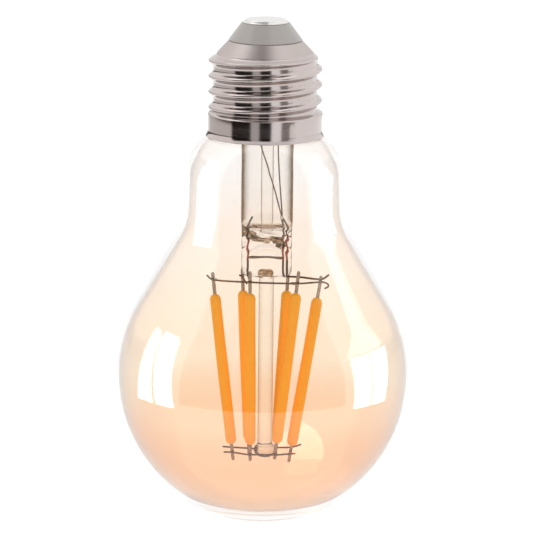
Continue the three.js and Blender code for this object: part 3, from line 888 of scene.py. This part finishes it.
# ---- Globe --------------------------------------------------------------------------------
@dataclass
class Globe(SubAssembly):
    """The blown glass envelope, clear outside and coated gold inside."""

    neck: float = 19.25
    neck_top: float = 18.85
    neck_length: float = 21.1
    cone_angle: float = 29.7
    fillet: float = 16.0
    shoulder: float = 13.5
    shoulder_drop: float = 11.0
    globe_wall: float = 0.9
    shoulder_wall: float = 1.4
    bottom_wall: float = 1.9
    gather_height: float = 9.0
    seal_wall: float = 1.0
    sides: int = 160
    box: Extent = field(default_factory=lambda: Extent.of("glass_envelope"))
    rim: float = field(default_factory=lambda: Extent.of("screw_shell").foot)

    @property
    def centre(self) -> float:
        """Height of the globe's centre."""
        return self.box.foot + self.box.radius

    def outline(self) -> Array:
        """Outer outline from the pole up: globe, cone, fillet, neck, shoulder, sealed neck.

        Returns:
            (r, z) rows.
        """
        neck_end = self.rim - self.neck_length
        shoulder_z = self.rim - self.shoulder_drop
        lean = math.degrees(math.atan2(self.neck - self.neck_top, self.neck_length - self.shoulder_drop))
        reach = self.fillet * math.tan(math.radians(self.cone_angle - lean) / 2)
        sine, cosine = math.sin(math.radians(lean)), math.cos(math.radians(lean))
        fillet_r = self.neck - reach * sine + self.fillet * cosine
        fillet_z = neck_end + reach * cosine + self.fillet * sine
        seal = Extent.of("flare_tube").radius
        turn = math.degrees(math.acos((seal + 0.2 - self.neck_top + self.shoulder) / self.shoulder))
        return np.vstack((
            arc(0, self.centre, self.box.radius, -90, self.cone_angle, 160),
            arc(fillet_r, fillet_z, self.fillet, 180 + self.cone_angle, 180 + lean, 24),
            arc(self.neck_top - self.shoulder, shoulder_z, self.shoulder, 0, turn, 32),
            [[seal, self.rim + 1.5], [seal, self.box.top]],
        ))

    def wall(self, z: Array) -> Array:
        """Thickness of the glass: gathered at the pole, thin round the globe, thicker at the shoulder.

        Args:
            z: heights.

        Returns:
            The wall at each height.
        """
        low = self.bottom_wall + (self.globe_wall - self.bottom_wall) * smooth(
            z, self.box.foot, self.box.foot + self.gather_height)
        high = low + (self.shoulder_wall - low) * smooth(z, self.centre, self.rim - self.neck_length)
        return high + (self.seal_wall - high) * smooth(z, self.rim - self.shoulder_drop / 2, self.rim)

    def build(self) -> None:
        """Make and fit the envelope."""
        outer = even(self.outline(), 230)
        along = np.gradient(outer, axis=0)
        along /= np.linalg.norm(along, axis=1, keepdims=True)
        along[0], along[-1] = (1, 0), (0, 1)
        inner = outer + np.column_stack((-along[:, 1], along[:, 0])) * self.wall(outer[:, 1])[:, None]
        inner[0, 0] = outer[0, 0] = 0
        grid = spin(np.vstack((outer, inner[::-1])), self.sides)
        zones = np.concatenate((np.zeros(len(outer)), np.ones(len(inner) - 1)))
        # (0.42, 0.40, 0.38) is painted shade that the clear glass takes where it is seen edge-on.
        clear = ClearGlass("blown_glass", (0.998, 0.995, 0.99), (0.42, 0.40, 0.38), 4.5, 30.0, 0.004,
                           self.box.foot)
        coat = AmberCoat("gold_inner_coat", self.rim - self.shoulder_drop, self.box.foot)
        finishes = [clear.material(), coat.material()]
        piece = make_piece("blown_envelope", grid, Ends.POLES, finishes, zones)
        self.fit(piece, "tinted_glass", "glass_envelope")


# ---- Stem ---------------------------------------------------------------------------------
@dataclass
class Stem(SubAssembly):
    """Fused glass stem: trumpet, tube, flattened press, rod and button, with the exhaust tube."""

    tube: float = 6.05
    wall: float = 0.5
    spread: float = 8.0
    press_half_width: float = 5.9
    press_half_depth: float = 1.8
    rod: float = 1.75
    corner: float = 1.5
    sides: int = 96
    axis: float = field(default_factory=lambda: float(Extent.of("centre_rod").centre[0]))
    flare: Extent = field(default_factory=lambda: Extent.of("flare_tube"))
    press: Extent = field(default_factory=lambda: Extent.of("stem_press"))
    button: Extent = field(default_factory=lambda: Extent.of("rod_button"))

    def trumpet(self, throat: float, rise: float) -> Array:
        """Quarter ellipse from the tube's throat out to the mouth.

        Args:
            throat: radius of the tube.
            rise: height of the ellipse.

        Returns:
            (r, z) rows from the tube up.
        """
        mouth = self.flare.radius - self.wall - 0.1
        swing = np.linspace(0, np.pi / 2, 24)
        foot = self.flare.top - self.wall - self.spread
        return np.column_stack((mouth - (mouth - throat) * np.cos(swing), foot + rise * np.sin(swing)))

    def outer_rows(self) -> tuple[Array, Array, Array]:
        """Half width, half depth and height of each outer row, from the button's foot up.

        Returns:
            Half widths, half depths and heights.
        """
        middle = (self.button.foot + self.button.top) / 2
        half = self.button.size[2] / 2
        bead = even(arc(self.button.radius - half, middle, half, -90, 60, 30), 26)
        bead[0, 0] = 0
        rod_z = np.linspace(self.button.top + 0.2, self.press.foot - 1.0, 60)
        bead_r = np.concatenate((bead[:, 0], np.full(60, self.rod)))
        bead_z = np.concatenate((bead[:, 1], rod_z))
        press_z = np.linspace(self.press.foot - 0.8, self.press.top + 4.0, 90)
        rise = press_z - self.press.foot
        foot_round = (1 - (1 - np.clip((rise + 0.8) / (0.8 + self.corner), 0, 1)) ** 4) ** 0.25
        width = self.rod + (self.press_half_width - self.rod) * foot_round
        depth = self.rod + (self.press_half_depth - self.rod) * foot_round
        pinch = smooth(press_z, self.press.top - 0.6, self.press.top + 2.6)
        width = width + (self.tube - width) * pinch
        depth = depth + (self.tube - depth) * smooth(press_z, self.press.top - 1.2, self.press.top + 3.4)
        trumpet = self.trumpet(self.tube, self.spread)
        tube_z = np.linspace(press_z[-1] + 0.3, trumpet[0, 1] - 0.3, 30)
        rim = self.flare.radius
        lip = np.array([[rim, self.flare.top - self.wall], [rim, self.flare.top]])
        round_r = np.concatenate((np.full(30, self.tube), trumpet[:, 0], lip[:, 0]))
        round_z = np.concatenate((tube_z, trumpet[:, 1], lip[:, 1]))
        return (np.concatenate((bead_r, width, round_r)), np.concatenate((bead_r, depth, round_r)),
                np.concatenate((bead_z, press_z, round_z)))

    def bore_rows(self) -> tuple[Array, Array, Array]:
        """Half width, half depth and height of each bore row, from the mouth down to its floor.

        Returns:
            Half widths, half depths and heights.
        """
        bore = self.tube - self.wall
        trumpet = self.trumpet(bore, self.spread + self.wall)[::-1]
        z = np.linspace(trumpet[-1, 1] - 0.3, self.press.top - 0.4, 70)
        width = bore - 0.5 * smooth(-z, -self.press.top - 2.0, -self.press.top + 0.4)
        depth = bore + (1.0 - bore) * smooth(-z, -self.press.top - 3.4, -self.press.top + 0.4)
        fade = np.cos(np.linspace(0, np.pi / 2, 12))[1:]
        floor_z = self.press.top - 0.4 - 0.9 * np.sin(np.linspace(0, np.pi / 2, 12))[1:]
        return (np.concatenate((trumpet[:, 0], width, width[-1] * fade)),
                np.concatenate((trumpet[:, 0], depth, depth[-1] * fade)),
                np.concatenate((trumpet[:, 1], z, floor_z)))

    def build(self) -> None:
        """Make and fit the stem's glass and the exhaust tube."""
        outer, bore = self.outer_rows(), self.bore_rows()
        width, depth, z = (np.concatenate(pair) for pair in zip(outer, bore))
        turn = 2 * np.pi * np.arange(self.sides) / self.sides
        square = smooth(z, self.press.foot - 0.8, self.press.foot + 2.5) * (1 - smooth(
            z, self.press.top - 1.5, self.press.top + 1.5))
        power = (1 - 0.45 * square)[:, None]
        x = width[:, None] * np.sign(np.cos(turn)) * np.abs(np.cos(turn)) ** power
        y = depth[:, None] * np.sign(np.sin(turn)) * np.abs(np.sin(turn)) ** power
        grid = np.stack((x, y, np.broadcast_to(z[:, None], x.shape).copy()), -1)
        self.press_marks(grid, len(outer[2]))
        mouth = self.flare.top - self.wall - self.spread
        grid[..., 0] += self.axis * (1 - smooth(grid[..., 2], mouth, self.flare.top - self.wall))
        colour = (0.99, 0.98, 0.965)
        # The stem's and rod's edge colours are painted shade where the glass is seen edge-on.
        glass = ClearGlass("stem_glass", colour, (0.08, 0.06, 0.04), 2.4, 3.0, 0.02).material()
        solid = ClearGlass("rod_glass", colour, (0.10, 0.06, 0.03), 1.5, 3.0, 0.01)
        zones = (z[1:] < self.press.foot) & (np.arange(1, len(z)) < len(outer[2]))
        piece = make_piece("fused_stem", grid, Ends.POLES, [glass, solid.material()], zones)
        self.fit(piece, "stem_glass", "flare_tube", "stem_press", "centre_rod", "rod_button")
        # (0.50, 0.43, 0.36) is painted shade where the exhaust glass is seen edge-on.
        thin = ClearGlass("exhaust_glass", (0.998, 0.993, 0.985), (0.50, 0.43, 0.36), 5.0, 3.0, 0.005)
        self.build_exhaust(thin.material())
        self.build_folds()

    def build_folds(self) -> None:
        """Folded glass along the closed end of the bore, and a small mound where the rod joins, both in
        streaked glass with painted shade.
        """
        top, foot = self.press.top, self.press.foot
        line = spline([
            (-4.9, 0, top - 0.7), (-3.6, 0, top - 1.2), (-2.2, 0, top - 2.4), (0, 0, top - 2.9),
            (1.2, 0, top - 2.6), (2.5, 0, top - 2.8), (3.6, 0, top - 3.6)])
        grid = sweep(line, 1.0, 40, 6)
        share = np.linspace(0, 1, len(grid))
        knots = (0, 0.12, 0.3, 0.42, 0.6, 0.78, 0.9, 1)
        girth = np.interp(share, knots, (0.9, 1.15, 1.0, 0.5, 0.45, 1.1, 1.25, 0.9))
        grid = scale_rows(grid, girth * (1 + 0.12 * np.sin(40 * share)))
        # Streaked glass with painted shade and painted refraction, for the fold and the mound.
        glass = FoldedGlass("folded_glass_painted_shade").material()
        fold = make_piece("bore_fold", grid + [self.axis, 0, 0], Ends.POLES, [glass])
        self.fit(fold, "stem_glass", "flare_tube", "stem_press")
        block = rounded_block((3.6, 2.4, 1.7), 0.84, (self.axis - 0.2, 0, foot + 0.2))
        mound = make_piece("rod_mound", block, Ends.POLES, [glass])
        self.fit(mound, "stem_glass", "stem_press", "centre_rod")

    def press_marks(self, grid: Array, outer_count: int) -> None:
        """Uneven glass: the bore's floor sags and ripples, and the press bears shallow jaw marks.

        Args:
            grid: the stem's points, changed in place.
            outer_count: number of its rows that belong to the outer side.
        """
        bore = grid[outer_count:]
        sag = smooth(-bore[..., 2], -self.press.top - 1.2, -self.press.top + 0.9)
        across = bore[..., 0]
        bore[..., 2] += sag * (0.35 * np.sin(1.1 * across + 0.6) - 0.04 * across
                               - 1.5 * np.cos(across / 3.1) + 0.14 * np.sin(4.6 * across + 1.3))
        face = grid[:outer_count]
        zone = smooth(face[..., 2], self.press.foot + 2.5, self.press.foot + 6) * (
            1 - smooth(face[..., 2], self.press.top - 0.8, self.press.top + 1.2))
        drop = face[..., 2] - self.press.top
        ridge = np.cos(2.1 * (drop + 0.10 * face[..., 0] ** 2))
        ripple = np.cos(4.8 * drop + 1.1 * face[..., 0]) * smooth(drop, -4.5, -1.5)
        face[..., 1] *= 1 + zone * (0.10 * ridge + 0.05 * ripple)

    def build_exhaust(self, glass: bpy.types.Material) -> None:
        """Thin tube up from the press, drawn off to a closed tip inside the cap.

        Args:
            glass: its glass.
        """
        box = Extent.of("exhaust_tube")
        radius, bore, tip = box.radius, 1.32, 2.6
        swing = np.radians(np.linspace(0, 90, 14))
        start = box.top - tip
        profile = np.vstack((
            np.column_stack((bore * np.sin(swing), start + 1.2 * np.cos(swing))),
            [[bore, box.foot + 0.3], [bore, box.foot + 0.05], [bore + 0.02, box.foot]],
            [[radius - 0.02, box.foot], [radius, box.foot + 0.05], [radius, box.foot + 0.3]],
            np.column_stack((radius * np.cos(swing) ** 0.8, start + tip * np.sin(swing) ** 1.4)),
        ))
        profile[0, 0] = profile[-1, 0] = 0
        grid = spin(profile, 48) + [box.centre[0], 0, 0]
        self.fit(make_piece("exhaust_pipe", grid, Ends.POLES, [glass]), "stem_glass", "exhaust_tube")


# ---- Filaments ----------------------------------------------------------------------------
FILAMENTS = ("left_outer", "left_rear", "left_front", "right_rear", "right_front", "right_outer")


@dataclass
class Filaments(SubAssembly):
    """Six upright LED filaments: silicone coat, carrier strip and a terminal at each end."""

    strip_width: float = 0.8
    strip_thickness: float = 0.3
    sides: int = 40

    def axis(self, name: str) -> tuple[Array, Array]:
        """Lower and upper end of a filament's coat, read from the CAD terminals.

        Args:
            name: name of the filament.

        Returns:
            Lower end and upper end.
        """
        lower = Extent.of(f"filament_{name}_lower_terminal")
        upper = Extent.of(f"filament_{name}_upper_terminal")
        rise = upper.centre - lower.centre
        along = rise / np.linalg.norm(rise)
        coat = Extent.of(f"filament_{name}_coat")
        middle = coat.centre
        radius = coat.size[1] / 2
        half = (coat.size[2] / 2 - radius) / abs(along[2]) + radius
        return middle - along * half, middle + along * half

    def build(self) -> None:
        """Make and fit all six."""
        # glow=0.3 is painted light: the unlit coat glows faintly in its own colour.
        coat = Coated("phosphor_silicone_painted_glow", (0.99, 0.46, 0.04), (0.98, 0.40, 0.03), rough=0.5,
                      scatter=0.14, patch_mm=1.1, relief_mm=0.03, glow=0.3)
        leaf = Metal("terminal_strip", (0.46, 0.38, 0.32), (0.32, 0.24, 0.19), polish=0.2, scatter=0.15,
                     grain_mm=0.6, grain=EVEN_GRAIN, relief_mm=0.01)
        ceramic = Coated("strip_ceramic", (0.80, 0.76, 0.70), (0.74, 0.70, 0.64), 0.5)
        materials = coat.material(), leaf.material(), ceramic.material()
        for name in FILAMENTS:
            self.build_one(name, *materials)

    def build_one(self, name: str, coat: bpy.types.Material, leaf: bpy.types.Material,
                  ceramic: bpy.types.Material) -> None:
        """Make and fit one filament.

        Args:
            name: name of the filament.
            coat: silicone of the coat.
            leaf: metal of the terminals.
            ceramic: material of the strip.
        """
        foot, top = self.axis(name)
        along = (top - foot) / np.linalg.norm(top - foot)
        radius = Extent.of(f"filament_{name}_coat").size[1] / 2
        path = even(np.vstack((foot + along * radius, top - along * radius)), 90)
        grid = sweep(path, radius, self.sides, 8)
        grid = scale_rows(grid, 1 + 0.02 * np.sin(np.linspace(0, 9, len(grid)) + len(name)))
        piece = make_piece(f"coat_{name}", grid, Ends.POLES, [coat])
        self.fit(piece, "filament_coat", f"filament_{name}_coat")
        self.dress(f"filament_{name}_strip", ceramic)
        for side in ("upper", "lower"):
            self.build_terminal(name, side, along, leaf)

    def build_terminal(self, name: str, side: str, along: Array, leaf: bpy.types.Material) -> None:
        """A flat leaf along the filament's axis with rounded edges.

        Args:
            name: name of the filament.
            side: upper or lower.
            along: direction of the axis, upwards.
            leaf: its metal.
        """
        node = f"filament_{name}_{side}_terminal"
        box = Extent.of(node)
        half = box.size[2] / 2 - 0.1
        path = box.centre + along / along[2] * np.linspace(-half, half, 14)[:, None]
        section = (self.strip_thickness, self.strip_width)
        grid = sweep(path, 0.5, 24, 3, section)
        self.fit(make_piece(f"terminal_{side}_{name}", grid, Ends.POLES, [leaf]), "wire_nickel", node)


# ---- Wires --------------------------------------------------------------------------------
@dataclass
class Wiring(SubAssembly):
    """Rails, lower wires, inner and outer leads, seal wires and link wire."""

    rail: float = 0.225
    lead: float = 0.25
    seal: float = 0.25
    outer: float = 0.175
    bare_seal: float = 2.2
    axis: float = field(default_factory=lambda: float(Extent.of("centre_rod").centre[0]))
    press: Extent = field(default_factory=lambda: Extent.of("stem_press"))
    button: Extent = field(default_factory=lambda: Extent.of("rod_button"))

    def weld(self, name: str, z: float, face: int) -> Point:
        """Where a wire lies against a filament's terminal, measured from the stem's axis.

        Args:
            name: name of the filament.
            z: height.
            face: -1 for the front face, 1 for the rear.

        Returns:
            The point.
        """
        lower = Extent.of(f"filament_{name}_lower_terminal").centre
        upper = Extent.of(f"filament_{name}_upper_terminal").centre
        share = (z - lower[2]) / (upper[2] - lower[2])
        x = lower[0] + share * (upper[0] - lower[0]) - self.axis
        return float(x), float(upper[1]) + face * (self.rail + 0.25), z

    def rails(self) -> dict[str, list[Point]]:
        """Routes of the rails and lower wires, each ending in a short free tail.

        Returns:
            The points of each wire, by the name of its CAD node.
        """
        rail = self.press.foot - 1.5
        low = self.button.centre[2]
        return {
            "front_rail": [
                (-13.9, -0.3, rail + 0.9), self.weld("left_outer", rail, -1), (-8, -1.8, rail - 0.1),
                self.weld("left_front", rail - 0.1, -1), (0, -2.7, rail - 0.2),
                self.weld("right_front", rail - 0.3, -1), (11, -1.7, rail - 0.2),
                (13.3, -1.2, rail - 0.2), (14.4, -1, rail - 0.7), (14.5, -1, rail - 1.3),
                (13.8, -1, rail - 1.7)],
            "bridge_wire": [
                (-6.3, 1.5, rail + 0.6), self.weld("left_rear", rail + 0.2, -1), (-5, -0.4, rail - 0.4),
                (-4.6, -1.6, rail - 0.6)],
            "lower_wire_front": [
                (-9.7, -0.3, low - 0.6), self.weld("left_outer", low - 0.6, -1),
                self.weld("left_front", low - 0.5, -1), (0, -1.7, low - 0.6),
                self.weld("right_front", low - 0.5, -1), (4.9, -1.6, low - 0.6), (7.1, -1, low - 0.6)],
            "lower_wire_rear": [
                (-10, 0.8, low + 0.4), (-8, 1.3, low + 0.1), self.weld("left_rear", low - 0.5, 1),
                (0, 1.7, low - 0.6), self.weld("right_rear", low - 0.3, 1),
                self.weld("right_outer", low + 0.5, 1), (8.6, 0.8, low + 1.1)],
        }

    def build(self) -> None:
        """Make and fit every wire."""
        foot, top = self.press.foot, self.press.top
        nickel = Metal("drawn_nickel", (0.26, 0.17, 0.11), (0.15, 0.09, 0.06), polish=0.25, scatter=0.2,
                       grain_mm=0.5, grain=EVEN_GRAIN, relief_mm=0.01)
        gold = replace(nickel, name="yellowed_nickel", colour=(0.45, 0.32, 0.20), stain=(0.36, 0.24, 0.14),
                       polish=0.3)
        copper = SealCopper("borated_copper", (0.78, 0.20, 0.08), (0.62, 0.13, 0.06), polish=0.3,
                            scatter=0.2, seal_height=top - self.bare_seal)
        metal, red = nickel.material(), copper.material()
        board = Extent.of("driver_board").foot
        rim = Extent.of("screw_shell").foot
        left, right, spare = -4.3, 3.8, 4.6
        front, rear = -0.3, 0.3
        joint = foot + 3.2
        leads = {
            "inner_lead_left": [
                (left, 0, joint), (left, 0, foot + 1.4), (left, 0, foot + 0.4),
                (left + 0.1, -0.7, foot - 0.8), (left + 0.4, -1.5, foot - 1.2)],
            "inner_lead_right": [
                (right, front, joint), (right, front, foot + 1.4), (right, front, foot + 0.4),
                (right + 0.3, front + 0.8, foot - 0.7), self.weld("right_rear", foot - 1.1, -1),
                (8, 1.5, foot - 1.2), self.weld("right_outer", foot - 1.4, 1), (14.6, 0.9, foot - 0.5)],
            "inner_lead_spare": [(spare, rear, joint), (spare, rear, foot - 0.2)],
        }
        outers = {
            "outer_lead_front": [
                (-3.2, -1.8, board - 0.05), (-2.2, -2.4, rim + 7), (-1.3, -2.3, rim - 3),
                (1.3, -2.2, (rim + top) / 2), (right - 0.3, front - 0.3, top + 3)],
            "outer_lead_rear": [
                (3, 1.8, board - 0.05), (2.5, 1.7, rim - 3), (spare - 1, rear + 0.3, top + 3)],
        }
        seals = {
            name: [(start, y, top + 2.9), (x, y, top + 0.6), (x, y, top - 1), (x, y, joint)]
            for name, start, x, y in (
                ("seal_wire_left", left + 0.8, left, 0.0),
                ("seal_wire_right", right - 0.3, right, front),
                ("seal_wire_spare", spare - 1, spare, rear))
        }
        link = [(left + 0.35, 0, foot + 3.7), (0, -0.2, foot + 4.0), (right - 0.35, front, foot + 3.7)]
        for routes, radius, material, slot in (
            (self.rails(), self.rail, metal, "wire_nickel"), (leads, self.lead, metal, "wire_nickel"),
            (outers, self.outer, metal, "wire_nickel"), (seals, self.seal, red, "seal_copper"),
            ({"link_wire": link}, self.seal, gold.material(), "wire_nickel"),
        ):
            for name, knots in routes.items():
                grid = sweep(spline(knots), radius - 0.01) + [self.axis, 0, 0]
                self.fit(make_piece(f"{name}_drawn", grid, Ends.POLES, [material]), slot, name)
        self.build_beads(right, front, top)

    def build_beads(self, right: float, front: float, top: float) -> None:
        """Small bright beads of weld metal on the joints.

        Args:
            right: x of the right lead from the stem's axis.
            front: y of the right lead.
            top: height of the press's top.
        """
        bright = Metal("weld_metal", (0.85, 0.82, 0.78), (0.70, 0.66, 0.62), polish=0.2, scatter=0.15,
                       grain_mm=0.4, grain=EVEN_GRAIN, relief_mm=0.02)
        metal = bright.material()
        rail = self.press.foot - 1.5
        for name, centre, size in (
            ("bead_lead_right", (right - 0.35, front - 0.2, top + 3.0), (0.75, 0.75, 1.1)),
            ("bead_rail_right", (6.5, -2.2, rail - 0.35), (1.5, 0.7, 0.7)),
            ("bead_rail_left", (-12.0, -0.35, rail), (0.8, 0.7, 0.7)),
        ):
            grid = rounded_block(size, 0.34, (centre[0] + self.axis, *centre[1:]))
            self.fit(make_piece(name, grid, Ends.POLES, [metal]), "wire_nickel")


# ---- Driver -------------------------------------------------------------------------------
@dataclass
class Driver(SubAssembly):
    """The small mains driver hidden in the cap."""

    corner: float = 0.3

    def build(self) -> None:
        """Dress the board and make its components."""
        mask = Coated("solder_mask", (0.03, 0.16, 0.06), (0.02, 0.12, 0.05), 0.35, 0.1, 2.0, 0.02, 0.3)
        moulding = Coated("moulded_epoxy", (0.02, 0.02, 0.022), (0.03, 0.03, 0.032), 0.5, patch_mm=0.8,
                          relief_mm=0.03)
        lacquer = Coated("resistor_lacquer", (0.22, 0.42, 0.52), (0.18, 0.36, 0.46), 0.3, 0.1, 1.0,
                         coat=0.4)
        dip = Coated("dipped_epoxy", (0.42, 0.09, 0.05), (0.36, 0.07, 0.04), 0.3, 0.1, 1.5, 0.05, 0.4)
        bright = Metal("tinned_wire", (0.7, 0.68, 0.66), (0.6, 0.58, 0.56), polish=0.2, scatter=0.1,
                       grain_mm=0.5, grain=EVEN_GRAIN, relief_mm=0.01)
        tin = bright.material()
        self.dress("driver_board", mask.material())
        black = moulding.material()
        for node in ("bridge_rectifier", "driver_chip", "sense_resistor"):
            self.block(node, black, "package", self.corner if node != "sense_resistor" else 0.12)
        self.block("input_capacitor", dip.material(), "capacitor_case", 0.9)
        box = Extent.of("fusible_resistor")
        half = box.size[0] / 2 - 0.9
        path = box.centre + np.array([1.0, 0, 0]) * np.linspace(-half, half, 40)[:, None]
        grid = sweep(path, 1.05, 32, 6)
        piece = make_piece("wirewound_resistor", grid, Ends.POLES, [lacquer.material()])
        self.fit(piece, "resistor_coat", "fusible_resistor")
        for node in ("live_wire", "neutral_wire"):
            self.dress(node, tin)

    def block(self, node: str, material: bpy.types.Material, slot: str, corner: float) -> None:
        """Make and fit a rounded block in a CAD node's box.

        Args:
            node: the CAD node.
            material: its material.
            slot: handed on to fit, which does not use it.
            corner: radius of its edges.
        """
        box = Extent.of(node)
        grid = rounded_block(tuple(box.size), corner, tuple(box.centre))
        self.fit(make_piece(f"{node}_body", grid, Ends.POLES, [material]), slot, node)


# ---- Studio -------------------------------------------------------------------------------
class Seen(Enum):
    """Which reflected rays meet a card."""

    GLASS = "mirrored once by the globe's polished glass"
    METAL = "reflected by satin metal or gloss"
    INSIDE = "mirrored by glass, within the globe or its wall"


@dataclass(frozen=True)
class Card:
    """A studio card on a sphere round the lamp, which shows only in reflections.

    Its corners are (azimuth, elevation) in degrees, azimuth 0 towards the camera and 90 to the
    right: lower left, lower right, upper right, upper left.
    """

    name: str
    corners: tuple[tuple[float, float], ...]
    light: Colour
    seen: Seen = Seen.METAL
    distance: float = 1.5


def upright(name: str, left: float, right: float, low: float, high: float, light: Colour,
            seen: Seen = Seen.METAL, distance: float = 1.5) -> Card:
    """A card between two azimuths and two elevations."""
    return Card(name, ((left, low), (right, low), (right, high), (left, high)), light, seen, distance)


def window(name: str, corners: tuple[tuple[float, float], ...], strength: float) -> Card:
    """A white window that the globe's polished glass mirrors."""
    return Card(name, corners, (strength, strength, strength), Seen.GLASS, 1.2)


@dataclass
class Studio:
    """Pale floor, white surroundings, reflecting cards and the camera."""

    distance: float = 600.0
    elevation: float = 13.5
    aim: Point = (0.7, 0.0, -58.56)
    lens: float = 172.2
    roll: float = 0.55
    floor_drop: float = 300.0
    bounces: int = 64
    cards: tuple[Card, ...] = (
        window("left_window_far", ((-112, -30), (-91, -29), (-98, 20), (-107, 19)), 6),
        window("left_window_near", ((-88, -29), (-70, -24), (-78, 26), (-95.5, 22)), 8),
        window("right_window_far", ((92, -27), (104, -29), (116, 5), (96, 10)), 8),
        window("right_window_near", ((74, -23), (90, -27), (94, 10), (75, 14)), 8),
        window("right_window_top", ((72, 16), (114, 7), (104, 30), (94, 31)), 3),
        upright("front_room", -66, 66, -38, 84, (0.10, 0.10, 0.10), Seen.GLASS),
        upright("front_room_low", -66, 66, -70, -38, (0.85, 0.82, 0.80), Seen.GLASS),
        upright("overhead_window", -125, -40, 48, 72, (5, 5, 5), Seen.INSIDE),
        upright("back_left_drape", 105, 180, -24, 30, (0.30, 0.22, 0.15), Seen.INSIDE, 0.7),
        upright("back_right_drape", -180, -105, -24, 30, (0.30, 0.22, 0.15), Seen.INSIDE, 0.7),
        upright("left_horizon", -160, -70, -4, 5, (0.12, 0.10, 0.09)),
        upright("right_horizon", 51, 160, -4, 2, (0.30, 0.27, 0.25)),
        upright("left_flag", -70, -28, -62, 32, (0.02, 0.016, 0.014)),
        upright("left_gap", -28, -11, -62, 32, (0.6, 0.6, 0.6)),
        upright("middle_flag", -11, 13, -62, 32, (0.02, 0.016, 0.014)),
        upright("right_strip", 13, 33, -62, 32, (1.2, 1.22, 1.25)),
        upright("right_shade", 33, 51, -62, 32, (0.31, 0.28, 0.27)),
        upright("right_wall", 62, 150, -58, 60, (1.2, 1.2, 1.2)),
        upright("left_wall_low", -150, -70, -62, -4, (0.80, 0.78, 0.77)),
        upright("left_wall_high", -150, -70, 5, 44, (1.15, 1.13, 1.12)),
        upright("left_roof", -150, -76, 46, 88, (1.7, 1.7, 1.7)),
        upright("right_roof", 40, 150, 60, 88, (1.5, 1.5, 1.5)),
        Card("ceiling_shade", ((-72, 48), (27, 52), (27, 88), (-72, 88)), (0.10, 0.085, 0.075)),
    )

    def build(self) -> None:
        """Set up everything round the lamp."""
        self.build_world()
        self.build_floor()
        for card in self.cards:
            self.build_card(card)
        self.build_camera()
        view = bpy.context.scene.view_settings
        view.view_transform = "Standard"
        cycles = bpy.context.scene.cycles
        cycles.max_bounces = self.bounces
        cycles.transmission_bounces = self.bounces
        cycles.glossy_bounces = self.bounces
        cycles.transparent_max_bounces = self.bounces

    def build_world(self) -> None:
        """Even white light from all round."""
        world = bpy.data.worlds.new("white_room")
        world.use_nodes = True
        world.node_tree.nodes["Background"].inputs["Color"].default_value = (1, 1, 1, 1)
        world.node_tree.nodes["Background"].inputs["Strength"].default_value = 1.0
        bpy.context.scene.world = world

    def build_floor(self) -> None:
        """Wide pale floor well below the lamp."""
        z = Extent.of("glass_envelope").foot - self.floor_drop
        profile = np.array([[0, z - 4], [9000, z - 4], [9000, z], [0, z]], float)
        finish = Coated("pale_floor", (0.86, 0.86, 0.86), (0.84, 0.84, 0.84), rough=0.8, scatter=0.1,
                        patch_mm=400.0, relief_mm=0.0, glow=0.31)
        make_piece("floor", spin(profile, 64), Ends.POLES, [finish.material()])

    def build_card(self, card: Card) -> None:
        """A patch of a sphere: its azimuth and elevation are blended linearly between its corners.

        Args:
            card: what it is and where.
        """
        count = 17
        corner = np.radians(card.corners)[:, :, None, None]
        across = np.linspace(0, 1, count)[None, :]
        up = across.T
        azimuth, lift = (1 - up) * ((1 - across) * corner[0] + across * corner[1]) + up * (
            (1 - across) * corner[3] + across * corner[2])
        patch = card.distance * np.stack((
            np.sin(azimuth) * np.cos(lift), -np.cos(azimuth) * np.cos(lift), np.sin(lift)), -1)
        patch[..., 2] += self.aim[2] * MM
        first = (np.arange(count - 1)[:, None] * count + np.arange(count - 1)).reshape(-1, 1)
        mesh = bpy.data.meshes.new(card.name)
        mesh.from_pydata(patch.reshape(-1, 3).tolist(), [], (first + [0, 1, count + 1, count]).tolist())
        mesh.materials.append(self.card_material(card))
        piece = bpy.data.objects.new(card.name, mesh)
        bpy.context.scene.collection.objects.link(piece)
        piece.visible_camera = False
        piece.visible_diffuse = False
        piece.visible_shadow = False

    def card_material(self, card: Card) -> bpy.types.Material:
        """Light that only a reflected ray meets; for any other ray the card is clear.

        Args:
            card: the card.

        Returns:
            The material.
        """
        g = Graph(card.name)
        mirrored = g.add("ShaderNodeLightPath", output="Glossy Depth")
        passed = g.add("ShaderNodeLightPath", output="Transmission Depth")
        sharp = g.add("ShaderNodeLightPath", output="Is Singular Ray")
        if card.seen is Seen.GLASS:
            shown = sharp * g.maths("COMPARE", mirrored, 1.0) * g.maths("LESS_THAN", passed, 2.5)
        elif card.seen is Seen.INSIDE:
            shown = sharp * g.maths("GREATER_THAN", mirrored, 0.5) * g.maths("GREATER_THAN", passed, 2.5)
        else:
            shown = (1 - sharp) * g.maths("GREATER_THAN", mirrored, 0.5)
        strength = max(card.light)
        sockets = {"Color": tuple(part / strength for part in card.light), "Strength": strength}
        clear = g.add("ShaderNodeBsdfTransparent")
        glow = g.add("ShaderNodeEmission", {}, sockets)
        return g.finish(g.add("ShaderNodeMixShader", {}, {0: shown, 1: clear, 2: glow}))

    def build_camera(self) -> None:
        """Camera in front of the lamp, a little above it."""
        data = bpy.data.cameras.new("camera")
        data.lens = self.lens
        data.clip_end = 50
        camera = bpy.data.objects.new("camera", data)
        bpy.context.scene.collection.objects.link(camera)
        lift = math.radians(self.elevation)
        aim = Vector(self.aim) * MM
        offset = Vector((0, -math.cos(lift), math.sin(lift))) * self.distance * MM
        camera.location = aim + offset
        camera.rotation_euler = (-offset).to_track_quat("-Z", "Y").to_euler()
        camera.rotation_euler.rotate_axis("Z", math.radians(self.roll))
        bpy.context.scene.camera = camera


def main() -> None:
    """Build the studio and every sub-assembly in order."""
    logging.basicConfig(level=logging.INFO, format="%(name)s %(message)s")
    Studio().build()
    ScrewCap().build()
    Globe().build()
    Stem().build()
    Filaments().build()
    Wiring().build()
    Driver().build()


if __name__ == "__main__":
    main()
